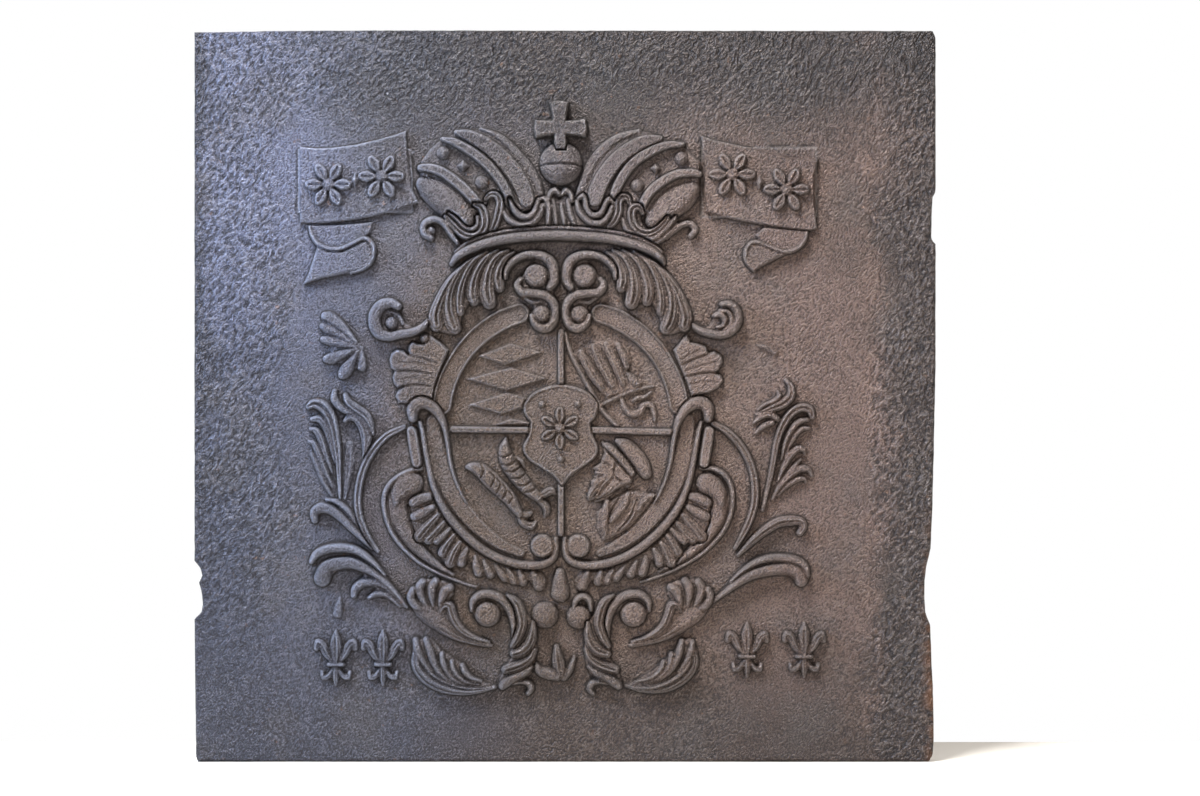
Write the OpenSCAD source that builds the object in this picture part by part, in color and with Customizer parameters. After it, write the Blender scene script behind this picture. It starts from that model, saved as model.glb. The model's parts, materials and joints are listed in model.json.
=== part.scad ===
// Cast-iron fireback with a quartered oval shield under a crown, framed by
// straps, scrolls and acanthus, with two banners above and four lilies.
// +X right, +Z up, the relief faces -Y. The origin is the middle of the foot.
// The ornament is drawn on a flat board, x across and z up, in millimetres:
// every stroke is a list of [x, z, half width] points on a smooth curve.

/* [Plate] */
// Width of the plate
plate_w = 743; // [690:1:900]
// Height of the plate
plate_h = 732; // [700:1:900]
// Thickness of the plate
plate_t = 18; // [10:0.5:40]
// Wear of the upper right corner
corner_wear = 9; // [3:0.5:14]
// Depth of the chip in the left edge
chip_depth = 8.5; // [2:0.5:14]
// Depth of the long hollow low in the right edge
hollow_depth = 10.5; // [2:0.5:16]
// Depth of the notch high in the right edge
notch_depth = 4; // [1:0.5:10]

/* [Ornament] */
// Size of the ornament against its drawing
drawing_scale = 1; // [0.8:0.01:1.04]
// Distance of the ornament's axis left of the plate's middle
axis_shift = 4; // [-8:0.5:8]
// Rise of the ornament's middle above the plate's middle
drawing_rise = 0; // [-16:1:18]
// Clearance where two castings' forms meet
seam = 0.45; // [0.3:0.05:0.8]

/* [Relief heights] */
// Crown caps with their jewels
crown_relief = 11; // [6:0.5:18]
// Ball under the cross
orb_relief = 13; // [6:0.5:20]
// Cross
cross_relief = 9; // [4:0.5:16]
// Leaf band of the crown
fleuron_relief = 9; // [4:0.5:16]
// Rolled circlet
circlet_relief = 11; // [5:0.5:18]
// Banner boards
banner_relief = 4.5; // [2:0.5:8]
// Rosettes on the banners
rosette_relief = 5; // [2:0.5:9]
// Turned tails of the banners
tail_relief = 6; // [3:0.5:12]
// Volutes
volute_relief = 9; // [5:0.5:16]
// Acanthus leaves
acanthus_relief = 9.5; // [5:0.5:16]
// Horn scrolls
horn_relief = 10; // [5:0.5:16]
// Shells behind the oval
shell_relief = 6; // [3:0.5:12]
// Moulding round the top of the oval
moulding_relief = 4.5; // [2:0.5:9]
// Straps that hold the oval
strap_relief = 9; // [5:0.5:16]
// Small upright bars
bar_relief = 6.5; // [3:0.5:12]
// Outer and inner C-scrolls
scroll_relief = 8; // [4:0.5:14]
// Frill below the straps
frill_relief = 7; // [3:0.5:12]
// Sprigs, hooks and the palmette
sprig_relief = 7; // [3:0.5:12]
// Curled commas
comma_relief = 9; // [4:0.5:14]
// Bars and fields of the shield
field_relief = 4.5; // [2:0.5:8]
// Figures on the shield
figure_relief = 8; // [4:0.5:14]
// Small heart-shaped shield
heart_relief = 8; // [4:0.5:14]
// Lilies
lily_relief = 6; // [3:0.5:12]

/* [Pellets] */
// Radius of the crown's pellets
pellet_r = 7; // [4:0.5:9]
// Radius of the volutes' eyes
eye_r = 12; // [8:0.5:13]
// Radius of the ball
orb_r = 22; // [16:0.5:23]
// Radius of a banner rosette
rosette_r = 23; // [14:0.5:25]
// Height of a lily
lily_size = 54; // [40:1:62]

/* [Hidden] */

iron_blue = "#4b515c";
iron_grey = "#55524f";
iron_brown = "#5f4f46";

sheet_mid = 366;        // middle line of the drawing
axis_x = -0.5;          // axis on which the drawing is mirrored
bend_step = 60;         // a span that turns more than this many degrees gets a middle station
full_w = 4;             // half width from which a stroke has its full height
thin_w = 5;           // narrower strokes are plain ridges
wide_w = 10;             // wider strokes are rounded
petal_reach = [1, 0.93, 0.5, 0.93];   // outline of a rosette, as shares of its radius
blunt_w = 4.2;          // a wider end of a stroke is rounded
rim_w = 3.4;            // rim of the heart-shaped shield
cut_h = 40;             // height of the prisms that part two forms
round_fn = 12;          // sides of a pellet
$grow = 0;              // above zero, a form is drawn as the prism that makes room for it

// ---- curves ----
function before(p, i) = i == 0 ? 2*p[0] - p[1] : p[i - 1];
function after(p, i) = i == len(p) - 2 ? 2*p[i + 1] - p[i] : p[i + 2];
function between(a, b, c, d, t) =
    0.5*(2*b + (c - a)*t + (2*a - 5*b + 4*c - d)*t*t + (3*b - a - 3*c + d)*t*t*t);
function turn(p, i) = let (u = p[i + 1] - before(p, i), v = after(p, i) - p[i])
    abs(atan2(u[0]*v[1] - u[1]*v[0], u[0]*v[0] + u[1]*v[1]));
function curve(p) = [
    for (i = [0:len(p) - 2]) let (n = turn(p, i) > bend_step ? 2 : 1)
        for (s = [0:n - 1]) between(before(p, i), p[i], p[i + 1], after(p, i), s/n),
    p[len(p) - 1]];
function heading(c, i) = let (d = c[min(i + 1, len(c) - 1)] - c[max(i - 1, 0)], v = [d[0], d[1]]) v/norm(v);
// a blunt end gets one more station, drawn in
function tip(c, i, way) = c[i][2] < blunt_w ? [] :
    let (t = heading(c, i)) [[c[i][0] + way*t[0]*c[i][2]*0.8, c[i][1] + way*t[1]*c[i][2]*0.8, c[i][2]*0.4]];
function stations(p) = let (c = curve(p)) concat(tip(c, 0, -1), c, tip(c, len(c) - 1, 1));
function moved(p, x, z, s) = [for (q = p) [x + q[0]*s, z + q[1]*s, q[2]*s]];

// ---- cross-sections, [across, up] as shares ----
wall_section = [[-1, 0], [-1, 1], [1, 1], [1, 0]];
thin_section = [[-1, 0], [0, 1], [1, 0]];
flat_section = [[-1, 0], [-0.8, 1], [0.8, 1], [1, 0]];
leaf_section = [[-1, 0], [-0.55, 0.96], [0.55, 0.96], [1, 0]];
round_section = [[-1, 0], [-0.75, 0.66], [0, 1], [0.75, 0.66], [1, 0]];
rim_section = [[-1, 0], [-0.85, 1], [-0.5, 0.6], [0.5, 0.6], [0.85, 1], [1, 0]];
function section(kind, w) = $grow > 0 ? wall_section
    : kind == "rim" ? rim_section
    : kind == "flat" ? flat_section
    : w < thin_w ? thin_section
    : w < wide_w ? leaf_section : round_section;
function share(w) = sqrt(min(1, max(0.35, w/full_w)));

// ---- forms of the relief ----
// a stroke of the drawing, as one closed ridge with a flat base
module ridge(kind, h, path) {
    c = stations(path);
    sec = section(kind, max([for (q = path) q[2]]));
    n = len(sec);
    last = len(c) - 1;
    drop = $grow > 0 ? 1 : 0;
    points = [for (i = [0:last])
        let (t = heading(c, i), w = c[i][2] + $grow, top = $grow > 0 ? cut_h : h*share(c[i][2]),
            out = i == 0 ? -$grow : i == last ? $grow : 0)
        for (q = sec) [c[i][0] + t[0]*out - t[1]*q[0]*w, c[i][1] + t[1]*out + t[0]*q[0]*w, q[1]*top - drop]];
    sides = [for (i = [0:last - 1], j = [0:n - 1])
        let (a = i*n + j, b = i*n + (j + 1)%n) each [[a, b, b + n], [a, b + n, a + n]]];
    first_end = [for (j = [n - 1:-1:0]) j];
    last_end = [for (j = [0:n - 1]) last*n + j];
    polyhedron(points, concat([first_end], sides, [last_end]));
}
// a flat field with an upright wall
module slab(h, outline) {
    translate([0, 0, $grow > 0 ? -1 : 0])
        linear_extrude($grow > 0 ? cut_h : h) offset(delta = $grow) polygon(outline);
}
// a round boss, domed or with a flat top
module button(x, z, r, h, flat = 0) {
    translate([x, z, $grow > 0 ? -1 : 0])
        if ($grow > 0) cylinder(h = cut_h, r = r + $grow, $fn = round_fn);
        else rotate_extrude($fn = round_fn)
            polygon([[0, 0], [r, 0], [r*max(0.86, flat + 0.1), h*0.62], [r*max(0.5, flat), h], [0, h]]);
}
// a pointed square boss
module lozenge(x, z, rx, rz, h) {
    translate([x, z, $grow > 0 ? -1 : 0]) scale([rx + $grow, rz + $grow, 1])
        cylinder(h = $grow > 0 ? cut_h : h, r1 = 1, r2 = $grow > 0 ? 1 : 0.3, $fn = 4);
}
module rosette(x, z, r, h, petals = 6, start = 0) {
    translate([x, z, 0]) rotate(start) linear_extrude(h*0.85, scale = 0.8)
        polygon([for (i = [0:4*petals - 1]) let (a = i*90/petals, reach = r*petal_reach[i%4])
            [reach*cos(a), reach*sin(a)]]);
    button(x, z, r*0.28, h);
}
module twin() {
    translate([2*axis_x, 0, 0]) mirror([1, 0, 0]) children();
}
// sets the first child on the plate's front, less room for the other children
module motif(tint, relief, lift = 0) {
    color(tint)
        translate([-axis_shift, -plate_t/2 - lift, plate_h/2 + drawing_rise]) rotate([90, 0, 0])
            resize([0, 0, relief])
                scale([drawing_scale, drawing_scale, 1]) translate([0, -sheet_mid, 0])
                    difference() {
                        children(0);
                        if ($children > 1) let ($grow = seam) children([1:$children - 1]);
                    }
}

// ---- plate ----
// wear of the edges as [inset, height above the foot]
function right_wear() = let (d = hollow_depth, n = notch_depth) [
    [7, 1], [3, 6], [2, 20], [2, 50], [3, 80], [4.5, 110], [5.5, 137], [d - 2, 144], [d, 150],
    [d + 0.8, 163], [d + 0.4, 182], [d - 1, 195], [8, 201], [5, 214], [3.5, 245], [1.5, 320], [0, 400],
    [0, 519], [n*0.6, 520.5], [n + 0.4, 524], [n, 540], [n - 0.5, 558], [n*0.8, 565], [0.5, 570], [0, 575]];
function left_wear() = let (d = chip_depth) [
    [0, 201], [d*0.35, 197.5], [d*0.72, 193], [d*0.92, 186], [d*0.55, 179], [d*0.82, 171],
    [d, 158], [d*0.8, 149], [0, 143], [1.5, 4], [4, 1]];
module back_plate() {
    half = plate_w/2;
    outline = concat(
        [for (q = right_wear()) [half - q[0], q[1]]],
        [[half, plate_h - corner_wear], [half - corner_wear*0.3, plate_h - corner_wear*0.3],
         [half - corner_wear, plate_h], [-half + 190, plate_h + 0.5], [-half + 90, plate_h], [-half, plate_h - 1.5]],
        [for (q = left_wear()) [-half + q[0], q[1]]],
        [[-half + 12, 0], [half - 14, 0]]);
    color(iron_grey) translate([0, plate_t/2, 0]) rotate([90, 0, 0])
        linear_extrude(plate_t) polygon(outline);
}

// ---- strokes of the drawing ----
module crown_cap_left_form() {
    slab(5, [[-141, 590], [-140, 600], [-131, 613], [-118, 624], [-100, 630], [-84, 632], [-68, 627],
        [-50, 615], [-34, 599], [-22, 581], [-17, 565], [-24, 552], [-48, 548], [-66, 560], [-84, 548],
        [-94, 538], [-104, 545], [-126, 552], [-141, 566]]);
    ridge("leaf", 8, [[-83, 632, 1], [-51, 614, 5.2], [-28, 586, 5.8], [-19, 560, 3]]);
    ridge("leaf", 9, [[-99, 626.5, 4], [-84, 620.5, 8.5], [-55.5, 594.5, 11.5], [-38, 563, 9.5],
        [-35, 553, 7]]);
    ridge("leaf", 10, [[-119, 621, 2.5], [-106, 618.5, 3.6], [-80, 602, 4.8], [-58.5, 576, 4.2],
        [-47, 555, 2.5]]);
    button(-116, 608, pellet_r + 0.5, 11);
    lozenge(-96, 595.5, 9, 8, 10.5);
    button(-78, 578, pellet_r + 1, 11);
    ridge("leaf", 10, [[-141, 591.5, 3], [-127, 593.5, 4.4], [-99, 580, 4.8], [-80.5, 557, 3.5]]);
    ridge("leaf", 10, [[-137, 577.5, 8], [-114, 562.5, 16.5], [-95, 542, 9]]);
}
module crown_cap_right_form() {
    slab(5, [[139, 588], [140, 600], [133, 606], [124, 614], [106, 621], [88, 630], [70, 632],
        [55, 627], [40, 615], [28, 598], [20, 580], [16, 565], [24, 552], [46, 548], [64, 560],
        [84, 548], [93, 538], [104, 544], [124, 551], [138, 566]]);
    ridge("leaf", 9, [[17.5, 560, 3], [24, 579, 5.6], [39, 604, 5.5], [63, 625, 3.6], [78, 631, 2]]);
    ridge("leaf", 9, [[35, 553, 7], [41, 575, 10.5], [58, 603.5, 10.4], [84, 621.5, 7.5], [96, 625, 4]]);
    ridge("leaf", 10, [[49, 560, 3.5], [54, 571.5, 4.8], [73, 597.5, 5.1], [99, 613.3, 4.8],
        [122, 616, 2.4]]);
    button(120, 603.5, pellet_r + 1, 11);
    lozenge(94, 594, 7.5, 7.5, 10.5);
    button(76, 577, pellet_r + 0.6, 11);
    ridge("leaf", 10, [[79.5, 549, 3], [83.5, 558, 4.6], [102, 579.5, 5.3], [127, 588, 4.4],
        [138, 587.5, 3]]);
    ridge("leaf", 10, [[92, 541, 8], [108.5, 557.5, 15.5], [130.5, 573, 8.5]]);
}
module crown_orb_form() {
    button(0, 598, orb_r - 0.5, 12);
}
module crown_cross_form() {
    slab(9, [[-12, 659.5], [-2, 661], [8, 659.5], [6, 647], [5, 641], [14, 641], [25, 643],
        [26.5, 633], [25, 624], [14, 626], [5.5, 626.5], [6, 618], [5, 611], [-5, 611], [-7, 618],
        [-7, 626.5], [-16, 625.5], [-25.5, 623], [-27, 632], [-26, 641.5], [-16, 641], [-8, 641],
        [-9, 648]]);
}
module crown_fleurons_form() {
    slab(3.6, [[-111, 545], [-103, 533], [-95, 524], [-78, 532], [-46, 534], [-13, 536], [14, 536],
        [46, 532], [76, 527], [94, 521], [106, 533], [98, 536], [86, 532], [72, 552], [62, 560],
        [50, 546], [34, 541], [20, 558], [4, 566], [-12, 558], [-24, 548], [-36, 541], [-50, 545],
        [-66, 562], [-77, 548], [-88, 528], [-98, 536]]);
    ridge("flat", 9, [[-115, 545.5, 2.5], [-108, 536.5, 3.8], [-100, 528.8, 4.2], [-91, 525, 4.4],
        [-82, 526.8, 4.6], [-76.3, 535, 4.8], [-76.2, 546, 4.8], [-80, 554.5, 4.6], [-86, 557, 3]]);
    ridge("flat", 9, [[-75, 562.5, 2.5], [-70.5, 567, 3.4], [-64, 566.3, 4], [-60.8, 558.5, 4.4],
        [-62.5, 547.5, 4.6], [-65.5, 537.5, 4.2], [-69.5, 530, 2.6]]);
    ridge("leaf", 9.5, [[-51, 562.5, 2.5], [-47.6, 553.5, 3.4], [-41.5, 546.5, 3.8], [-34, 544.3, 3.8],
        [-27.3, 548, 3.7], [-24.3, 555.5, 3.4], [-22.5, 562, 2.6]]);
    ridge("leaf", 9, [[-21.5, 562.5, 2.2], [-16.8, 563.2, 3], [-13, 558, 3.4], [-12.2, 548, 3.6],
        [-12.8, 538, 2.8]]);
    ridge("leaf", 9, [[-12, 561.5, 2.2], [-10.6, 568, 3], [-6, 571.5, 3.2], [-1.8, 567.5, 2.4]]);
    ridge("leaf", 9, [[1, 567.5, 2.2], [5.2, 571.3, 3.2], [9.6, 567.3, 3], [11, 561, 2.2]]);
    ridge("leaf", 9, [[16, 560, 2.5], [18, 551, 3.4], [24.5, 542.8, 3.7], [33, 538.7, 3.8],
        [41, 539.5, 3.7], [47.5, 546, 3.6], [51.2, 554.5, 3]]);
    ridge("leaf", 9.5, [[17.5, 563, 2.3], [21.8, 566, 3.2], [24.6, 561, 3.2], [25.4, 553.5, 3.4],
        [29.5, 547.3, 3.6], [36, 546.2, 3.6], [41.3, 550, 3.5], [44, 557, 3.3], [48, 562.5, 3.2],
        [52, 559, 2.4]]);
    ridge("flat", 9, [[68.5, 560, 3], [63, 564, 4.4], [58, 558, 4.5], [57.5, 550, 4.6], [54, 541, 4.2],
        [48, 534.5, 2.6]]);
    ridge("flat", 9, [[81.5, 549, 2.6], [78, 554.5, 4], [72, 553.5, 4.6], [70.2, 546, 4.8],
        [73, 536, 4.7], [80, 529.8, 4.4], [88, 528.6, 4.2], [96, 532.2, 4], [103, 539, 3.6],
        [106.5, 544, 3]]);
    ridge("leaf", 8.5, [[61.5, 543, 2.2], [65, 533.5, 3.2], [72.5, 526.8, 3.4], [83, 522.8, 3.4],
        [93, 523.6, 3.4], [102, 530, 3.3], [109, 537.5, 3.2], [114, 544.5, 2.4]]);
}
module crown_curl_left_form() {
    ridge("leaf", 8, [[-103, 518.5, 2], [-117, 538.5, 3.6], [-127, 542.5, 3.6], [-136, 538, 3.8],
        [-136.5, 529, 4], [-130, 524, 3.5]]);
    button(-130, 531, 4.5, 7);
}
module crown_curl_right_form() {
    ridge("leaf", 6, [[105, 523, 1.5], [122, 537.5, 3], [134, 532, 3.5], [130, 526, 3]]);
}
module crown_circlet_form() {
    ridge("leaf", 11, [[-109, 498, 2.5], [-90, 513, 4.7], [-45, 524.4, 5.1], [50, 523, 5],
        [90, 511, 4.5], [103, 498.5, 2]]);
    ridge("leaf", 7, [[-105, 510, 1.8], [-93, 519, 2.3], [-46, 531.5, 2.6], [50, 530.2, 2.6],
        [92, 516.8, 2.3], [101, 509.5, 1.6]]);
}
module banner_left_form() {
    slab(4.5, [[-261, 615], [-245, 613.5], [-230, 614], [-206, 617], [-184, 622], [-166, 627],
        [-155, 631], [-152, 600], [-149, 574], [-142, 559], [-150, 557.5], [-166, 552], [-184, 547.5],
        [-204, 543.5], [-230, 540.5], [-261, 539]]);
    ridge("leaf", 7.5, [[-259, 541, 2], [-204, 545.5, 3.2], [-146, 559.5, 2]]);
}
module banner_right_form() {
    slab(4.5, [[140, 626.5], [152, 622], [182, 615.5], [212, 608.5], [232, 603.5], [257, 602.5],
        [253, 585], [253, 560], [256, 533], [247, 531], [230, 533], [203, 537], [170, 543], [146, 549],
        [142, 570], [143, 590]]);
    ridge("leaf", 7, [[147, 551, 2], [230, 535.3, 2.8], [254, 534.5, 2]]);
}
module banner_tail_left_form() {
    slab(2.5, [[-252, 537], [-250, 528], [-243, 518], [-232, 513], [-218, 513], [-206, 519],
        [-196, 524], [-190, 530], [-188, 540], [-225, 537]]);
    slab(4, [[-243.5, 516], [-232, 510.5], [-218, 510.5], [-206, 516.5], [-196, 521.5],
        [-190.5, 517.5], [-187.5, 511], [-189.5, 501], [-197.5, 492.5], [-220, 487], [-240, 483],
        [-258, 477], [-252, 490], [-247, 505]]);
    ridge("leaf", 6, [[-251, 535, 1.5], [-242.5, 518, 2.6], [-219, 513.5, 2.6], [-196, 523.5, 2.6],
        [-187, 510, 2.6], [-198, 493, 2.2], [-210, 489, 1.5]]);
}
module banner_tail_right_form() {
    slab(2.5, [[203, 535], [247, 531], [243, 520], [237, 513], [225, 509], [212, 513], [200, 519],
        [194, 527]]);
    slab(2.5, [[212, 512], [200, 518], [190, 518], [184, 510], [186, 498], [194, 491], [202, 496],
        [216, 503], [226, 508]]);
    ridge("leaf", 5, [[246, 531, 1.5], [243, 521, 2.2], [223, 510.3, 2.5], [199, 519, 2.5],
        [190, 518.5, 2.5], [184.5, 510, 2.5], [186, 499, 2.2], [193, 491, 1.5]]);
}
module top_volute_left_form() {
    ridge("leaf", 9, [[-55.5, 484, 2.5], [-54.5, 492, 3.2], [-49, 499.5, 3.6], [-41, 505, 3.8],
        [-30, 507.5, 4], [-18, 505.5, 4.8], [-9.8, 499, 5.6], [-7, 489, 5.8], [-7, 481, 5.2],
        [-11, 474.5, 4]]);
    button(-24.5, 486, eye_r + 0.3, 9, 0.5);
    ridge("leaf", 9, [[-40.5, 482.5, 2.6], [-43.5, 476.5, 3.8], [-38, 469.5, 4.5], [-26, 468.5, 4.8],
        [-14, 465.5, 5], [-6.6, 456.5, 4.6], [-6.2, 445, 4.6], [-11, 436, 4.8], [-19, 434.2, 4.8],
        [-26, 438.5, 3.8], [-29.5, 446, 2.6]]);
    button(-19, 447.5, 9.3, 9, 0.3);
}
module top_acanthus_left_form() {
    slab(4.5, [[-50, 509], [-76, 507], [-100, 493], [-117, 470], [-126, 448], [-124, 436], [-106, 432],
        [-98, 446], [-90, 460], [-74, 458], [-64, 474], [-57, 492]]);
    ridge("leaf", 9.5, [[-47, 509.5, 1.5], [-55.5, 503, 3.6], [-63, 483, 6.8], [-61.5, 474.5, 5.2]]);
    ridge("leaf", 9.5, [[-63, 511.5, 1.5], [-82, 493, 5], [-88.5, 468, 6.5], [-87, 461, 5.2]]);
    ridge("leaf", 9.5, [[-74, 510, 1.5], [-84.5, 502.5, 3], [-98.5, 478, 4.8], [-101, 450, 4.5]]);
    ridge("leaf", 9.5, [[-82, 506, 1.5], [-94.5, 497.5, 3], [-111, 468, 5.8], [-109, 440, 8.2],
        [-106, 434, 6.5]]);
    ridge("leaf", 9.5, [[-89, 502, 1.5], [-112, 478, 4.6], [-125, 446, 7.2], [-124, 437, 7]]);
}
module horn_scroll_left_form() {
    slab(4, [[-185, 447], [-183, 430], [-170, 425], [-156, 427], [-142, 432], [-150, 436], [-158, 441],
        [-164, 452], [-176, 456]]);
    ridge("leaf", 10, [[-163, 455.5, 4.2], [-170, 458.5, 5.6], [-179, 456, 6.6], [-185, 447.5, 7],
        [-185.5, 437.5, 7], [-181, 428.8, 6.5], [-171, 425.8, 5], [-160, 428, 4.6], [-148, 430, 4.3],
        [-139, 434.3, 3.6], [-133, 440.5, 2.6]]);
    button(-169, 439, 7, 9.5);
}
module horn_scroll_right_form() {
    slab(4, [[176, 450], [177, 437], [168, 428], [150, 428], [136, 433], [148, 436], [153, 446],
        [160, 455], [170, 457]]);
    ridge("leaf", 10, [[161, 457.5, 3], [169, 457.3, 4.2], [175.7, 450, 4.7], [176.3, 440, 4.8],
        [170, 431.2, 4.8], [160, 427.6, 4.6], [148, 428.8, 4.2], [138, 432, 3.6], [130, 437.5, 2.5]]);
    ridge("leaf", 9.5, [[159, 450.8, 2.4], [166, 450.4, 3.2], [170, 444.3, 3.4], [169.3, 437.3, 3.2],
        [163, 431.8, 2.5]]);
    ridge("leaf", 9, [[153.5, 446, 2.8], [158.5, 447.4, 3.9], [163.3, 442.8, 3.8], [162.3, 436.6, 3.2],
        [156.5, 434.3, 2.4]]);
}
module shell_left_form() {
    slab(3.6, [[-112, 412], [-124, 420], [-137, 424], [-146, 412], [-160, 404], [-152, 392],
        [-158, 382], [-150, 374], [-152, 364], [-128, 358], [-126, 375], [-120, 392]]);
    ridge("leaf", 6, [[-121, 399, 4], [-138, 402, 8.5], [-159, 401.3, 11]]);
    ridge("leaf", 5.5, [[-124, 386, 4], [-158, 382, 8.3]]);
    ridge("leaf", 5.5, [[-118, 406, 3.5], [-132, 412.5, 6], [-144.5, 411.5, 7]]);
    button(-137, 423.5, 5, 5.5);
    ridge("leaf", 5, [[-127, 374, 4], [-157, 366.5, 6]]);
}
module shell_right_form() {
    slab(3.6, [[112, 412], [122, 420], [128, 420], [138, 412], [150, 402], [144, 390], [152, 380],
        [146, 372], [130, 366], [126, 378], [118, 396]]);
    ridge("leaf", 6, [[120, 391, 4], [135, 399, 7], [149.5, 399.5, 9.8]]);
    ridge("leaf", 5.5, [[125, 379.5, 4], [139, 382, 6.5], [151.5, 379.8, 8.3]]);
    ridge("leaf", 5.5, [[115, 402, 3], [127, 409, 5], [138.5, 411.3, 6]]);
    button(125, 422.5, 3.6, 4.5);
}
module oval_moulding_left_form() {
    ridge("rim", 4.5, [[-119, 357, 10], [-116.3, 371, 10], [-102.5, 402, 9.8], [-76, 431, 10.4],
        [-58, 442.3, 10.6], [-41, 448.5, 10]]);
}
module strap_hook_left_form() {
    ridge("leaf", 9, [[-148, 344, 4.5], [-143.5, 358.3, 6.8], [-127.5, 354.5, 5.4], [-116, 333.5, 3],
        [-110.5, 300, 2.1], [-94, 259, 1]]);
}
module strap_scroll_left_form() {
    ridge("leaf", 7, [[-141, 339.5, 2], [-127.3, 276, 3.4], [-108, 240.5, 4.4], [-77, 211.8, 4.5],
        [-36, 197, 4.3], [-8.7, 203.5, 3.8], [-5, 223, 2.5]]);
    ridge("flat", 3.2, [[-128, 341, 7], [-122.5, 305, 9.6], [-107, 266, 10.4], [-78, 231, 8],
        [-40, 209, 4]]);
}
module strap_eye_left_form() {
    button(-18.5, 216.3, eye_r - 0.2, 7, 0.75);
}
module upright_bar_left_form() {
    ridge("flat", 6.5, [[-149, 331, 5.3], [-143.8, 299, 5.2]]);
}
module outer_scroll_left_form() {
    ridge("flat", 5, [[-157, 335, 2.5], [-174, 326.5, 3.5], [-197, 294, 4], [-203, 256, 4],
        [-191.5, 223, 3.2], [-183, 211, 2]]);
}
module outer_scroll_right_form() {
    ridge("flat", 5, [[152, 339, 2.5], [166, 330.5, 3.5], [179, 317, 3.9], [193.3, 282, 4],
        [190, 246, 3.8], [174, 214, 2]]);
}
module inner_scroll_left_form() {
    ridge("flat", 7, [[-140.5, 292.3, 2.5], [-153, 290, 4.6], [-164.5, 281.5, 6], [-172, 269, 5.8],
        [-171.2, 243, 5], [-155.5, 217.5, 4.5], [-131, 195.5, 4], [-103, 180.5, 2.4], [-85, 175, 1.5]]);
    button(-149.8, 279, 12, 9);
}
module inner_scroll_right_form() {
    ridge("flat", 7, [[139, 291.5, 2.5], [149.5, 291.7, 3.6], [159.5, 286, 4.8], [167.3, 262, 5],
        [158.7, 234, 4.7], [138.5, 211, 4.3], [111.5, 193, 3.5], [80, 181, 1.5]]);
    button(146.3, 278.5, 11.3, 9);
}
module frill_left_form() {
    slab(3.5, [[-130, 267], [-140, 262], [-142, 250], [-137, 234], [-126, 228], [-117, 214],
        [-106, 204], [-92, 200], [-74, 193], [-50, 185], [-24, 179], [-20, 190], [-45, 192],
        [-70, 203], [-97, 220], [-117, 243], [-126, 259]]);
    ridge("leaf", 7.5, [[-132, 265.5, 4.5], [-147, 260, 5.5]]);
    ridge("leaf", 7.5, [[-128.5, 255, 3.8], [-146, 245.5, 5]]);
    ridge("leaf", 7.5, [[-123, 247, 3.5], [-141.5, 225.5, 6]]);
    ridge("leaf", 7.5, [[-117, 239.5, 3], [-132.5, 222.5, 5]]);
    ridge("leaf", 7.5, [[-111, 233.5, 2.6], [-124, 221.5, 4.2]]);
    ridge("leaf", 7.5, [[-107, 227, 2.8], [-118, 209.5, 5]]);
    ridge("leaf", 7.5, [[-101, 220, 2.8], [-111, 199.5, 5.4]]);
    ridge("leaf", 7.5, [[-94, 213, 2.8], [-99.5, 199.5, 4.8]]);
    ridge("leaf", 7, [[-85.5, 205.5, 2.6], [-82, 190, 5]]);
    ridge("leaf", 7, [[-76.5, 201, 2.6], [-70.5, 188, 4.6]]);
    ridge("leaf", 6.5, [[-65, 196.5, 2.5], [-56, 184.5, 4.5]]);
    ridge("leaf", 6.5, [[-53, 193, 2.5], [-47, 182, 4.8]]);
    ridge("leaf", 6.5, [[-41, 191.5, 2.5], [-38, 180.5, 4.6]]);
    ridge("leaf", 6.5, [[-28, 190.5, 2.6], [-22, 177, 6]]);
}
module sprig_left_form() {
    ridge("leaf", 7, [[-221, 263, 1.2], [-223, 305, 4.4], [-232.5, 343, 7], [-248, 357.3, 4.6]]);
    ridge("leaf", 6, [[-224, 297, 1.2], [-235, 328.5, 4.4], [-246, 341.5, 3.2]]);
    ridge("leaf", 5.5, [[-224, 285, 1.2], [-237.5, 314, 4.4], [-248, 326, 3]]);
    ridge("leaf", 5, [[-224, 274, 1.2], [-240, 298.5, 4.2], [-247, 306, 3.8]]);
    ridge("leaf", 4, [[-224, 264, 1], [-249, 295, 2.6]]);
    ridge("leaf", 7, [[-216, 264, 1.8], [-209, 319, 9], [-213.5, 340, 4.6]]);
}
module sprig_leaf_left_form() {
    ridge("leaf", 7, [[-225.5, 371.5, 3.6], [-221.5, 355, 4.2], [-196, 342, 1.2]]);
    ridge("leaf", 7, [[-214.5, 366, 3.6], [-209.5, 359, 5], [-194.5, 346, 4.8], [-185.5, 331, 1.6]]);
    ridge("leaf", 6, [[-217, 343.5, 2], [-209, 347, 3.4], [-201, 344.5, 3.4], [-191, 331, 1.5]]);
}
module sprig_right_form() {
    ridge("leaf", 6, [[201.5, 252, 1.6], [216.5, 321, 4.4], [230, 347, 5.4], [248.5, 350, 4],
        [251, 344, 3]]);
    ridge("leaf", 5.5, [[217.5, 303, 1.4], [228.5, 332, 3.6], [244, 342.3, 2.6]]);
    ridge("leaf", 5, [[219.5, 296, 1.2], [231.5, 322.5, 3.3], [246, 334.7, 2.6]]);
    ridge("leaf", 5, [[213.5, 282, 1.2], [227, 306, 3.3], [235, 313, 3.2], [242, 312, 2.6]]);
    ridge("leaf", 4.5, [[211, 273, 1.2], [219.5, 284.5, 2.6], [238.5, 301, 2.2]]);
    ridge("leaf", 5, [[209, 263, 1.2], [217.5, 275, 2.6], [238, 290, 3.3], [248, 290.5, 2.6]]);
}
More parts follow.
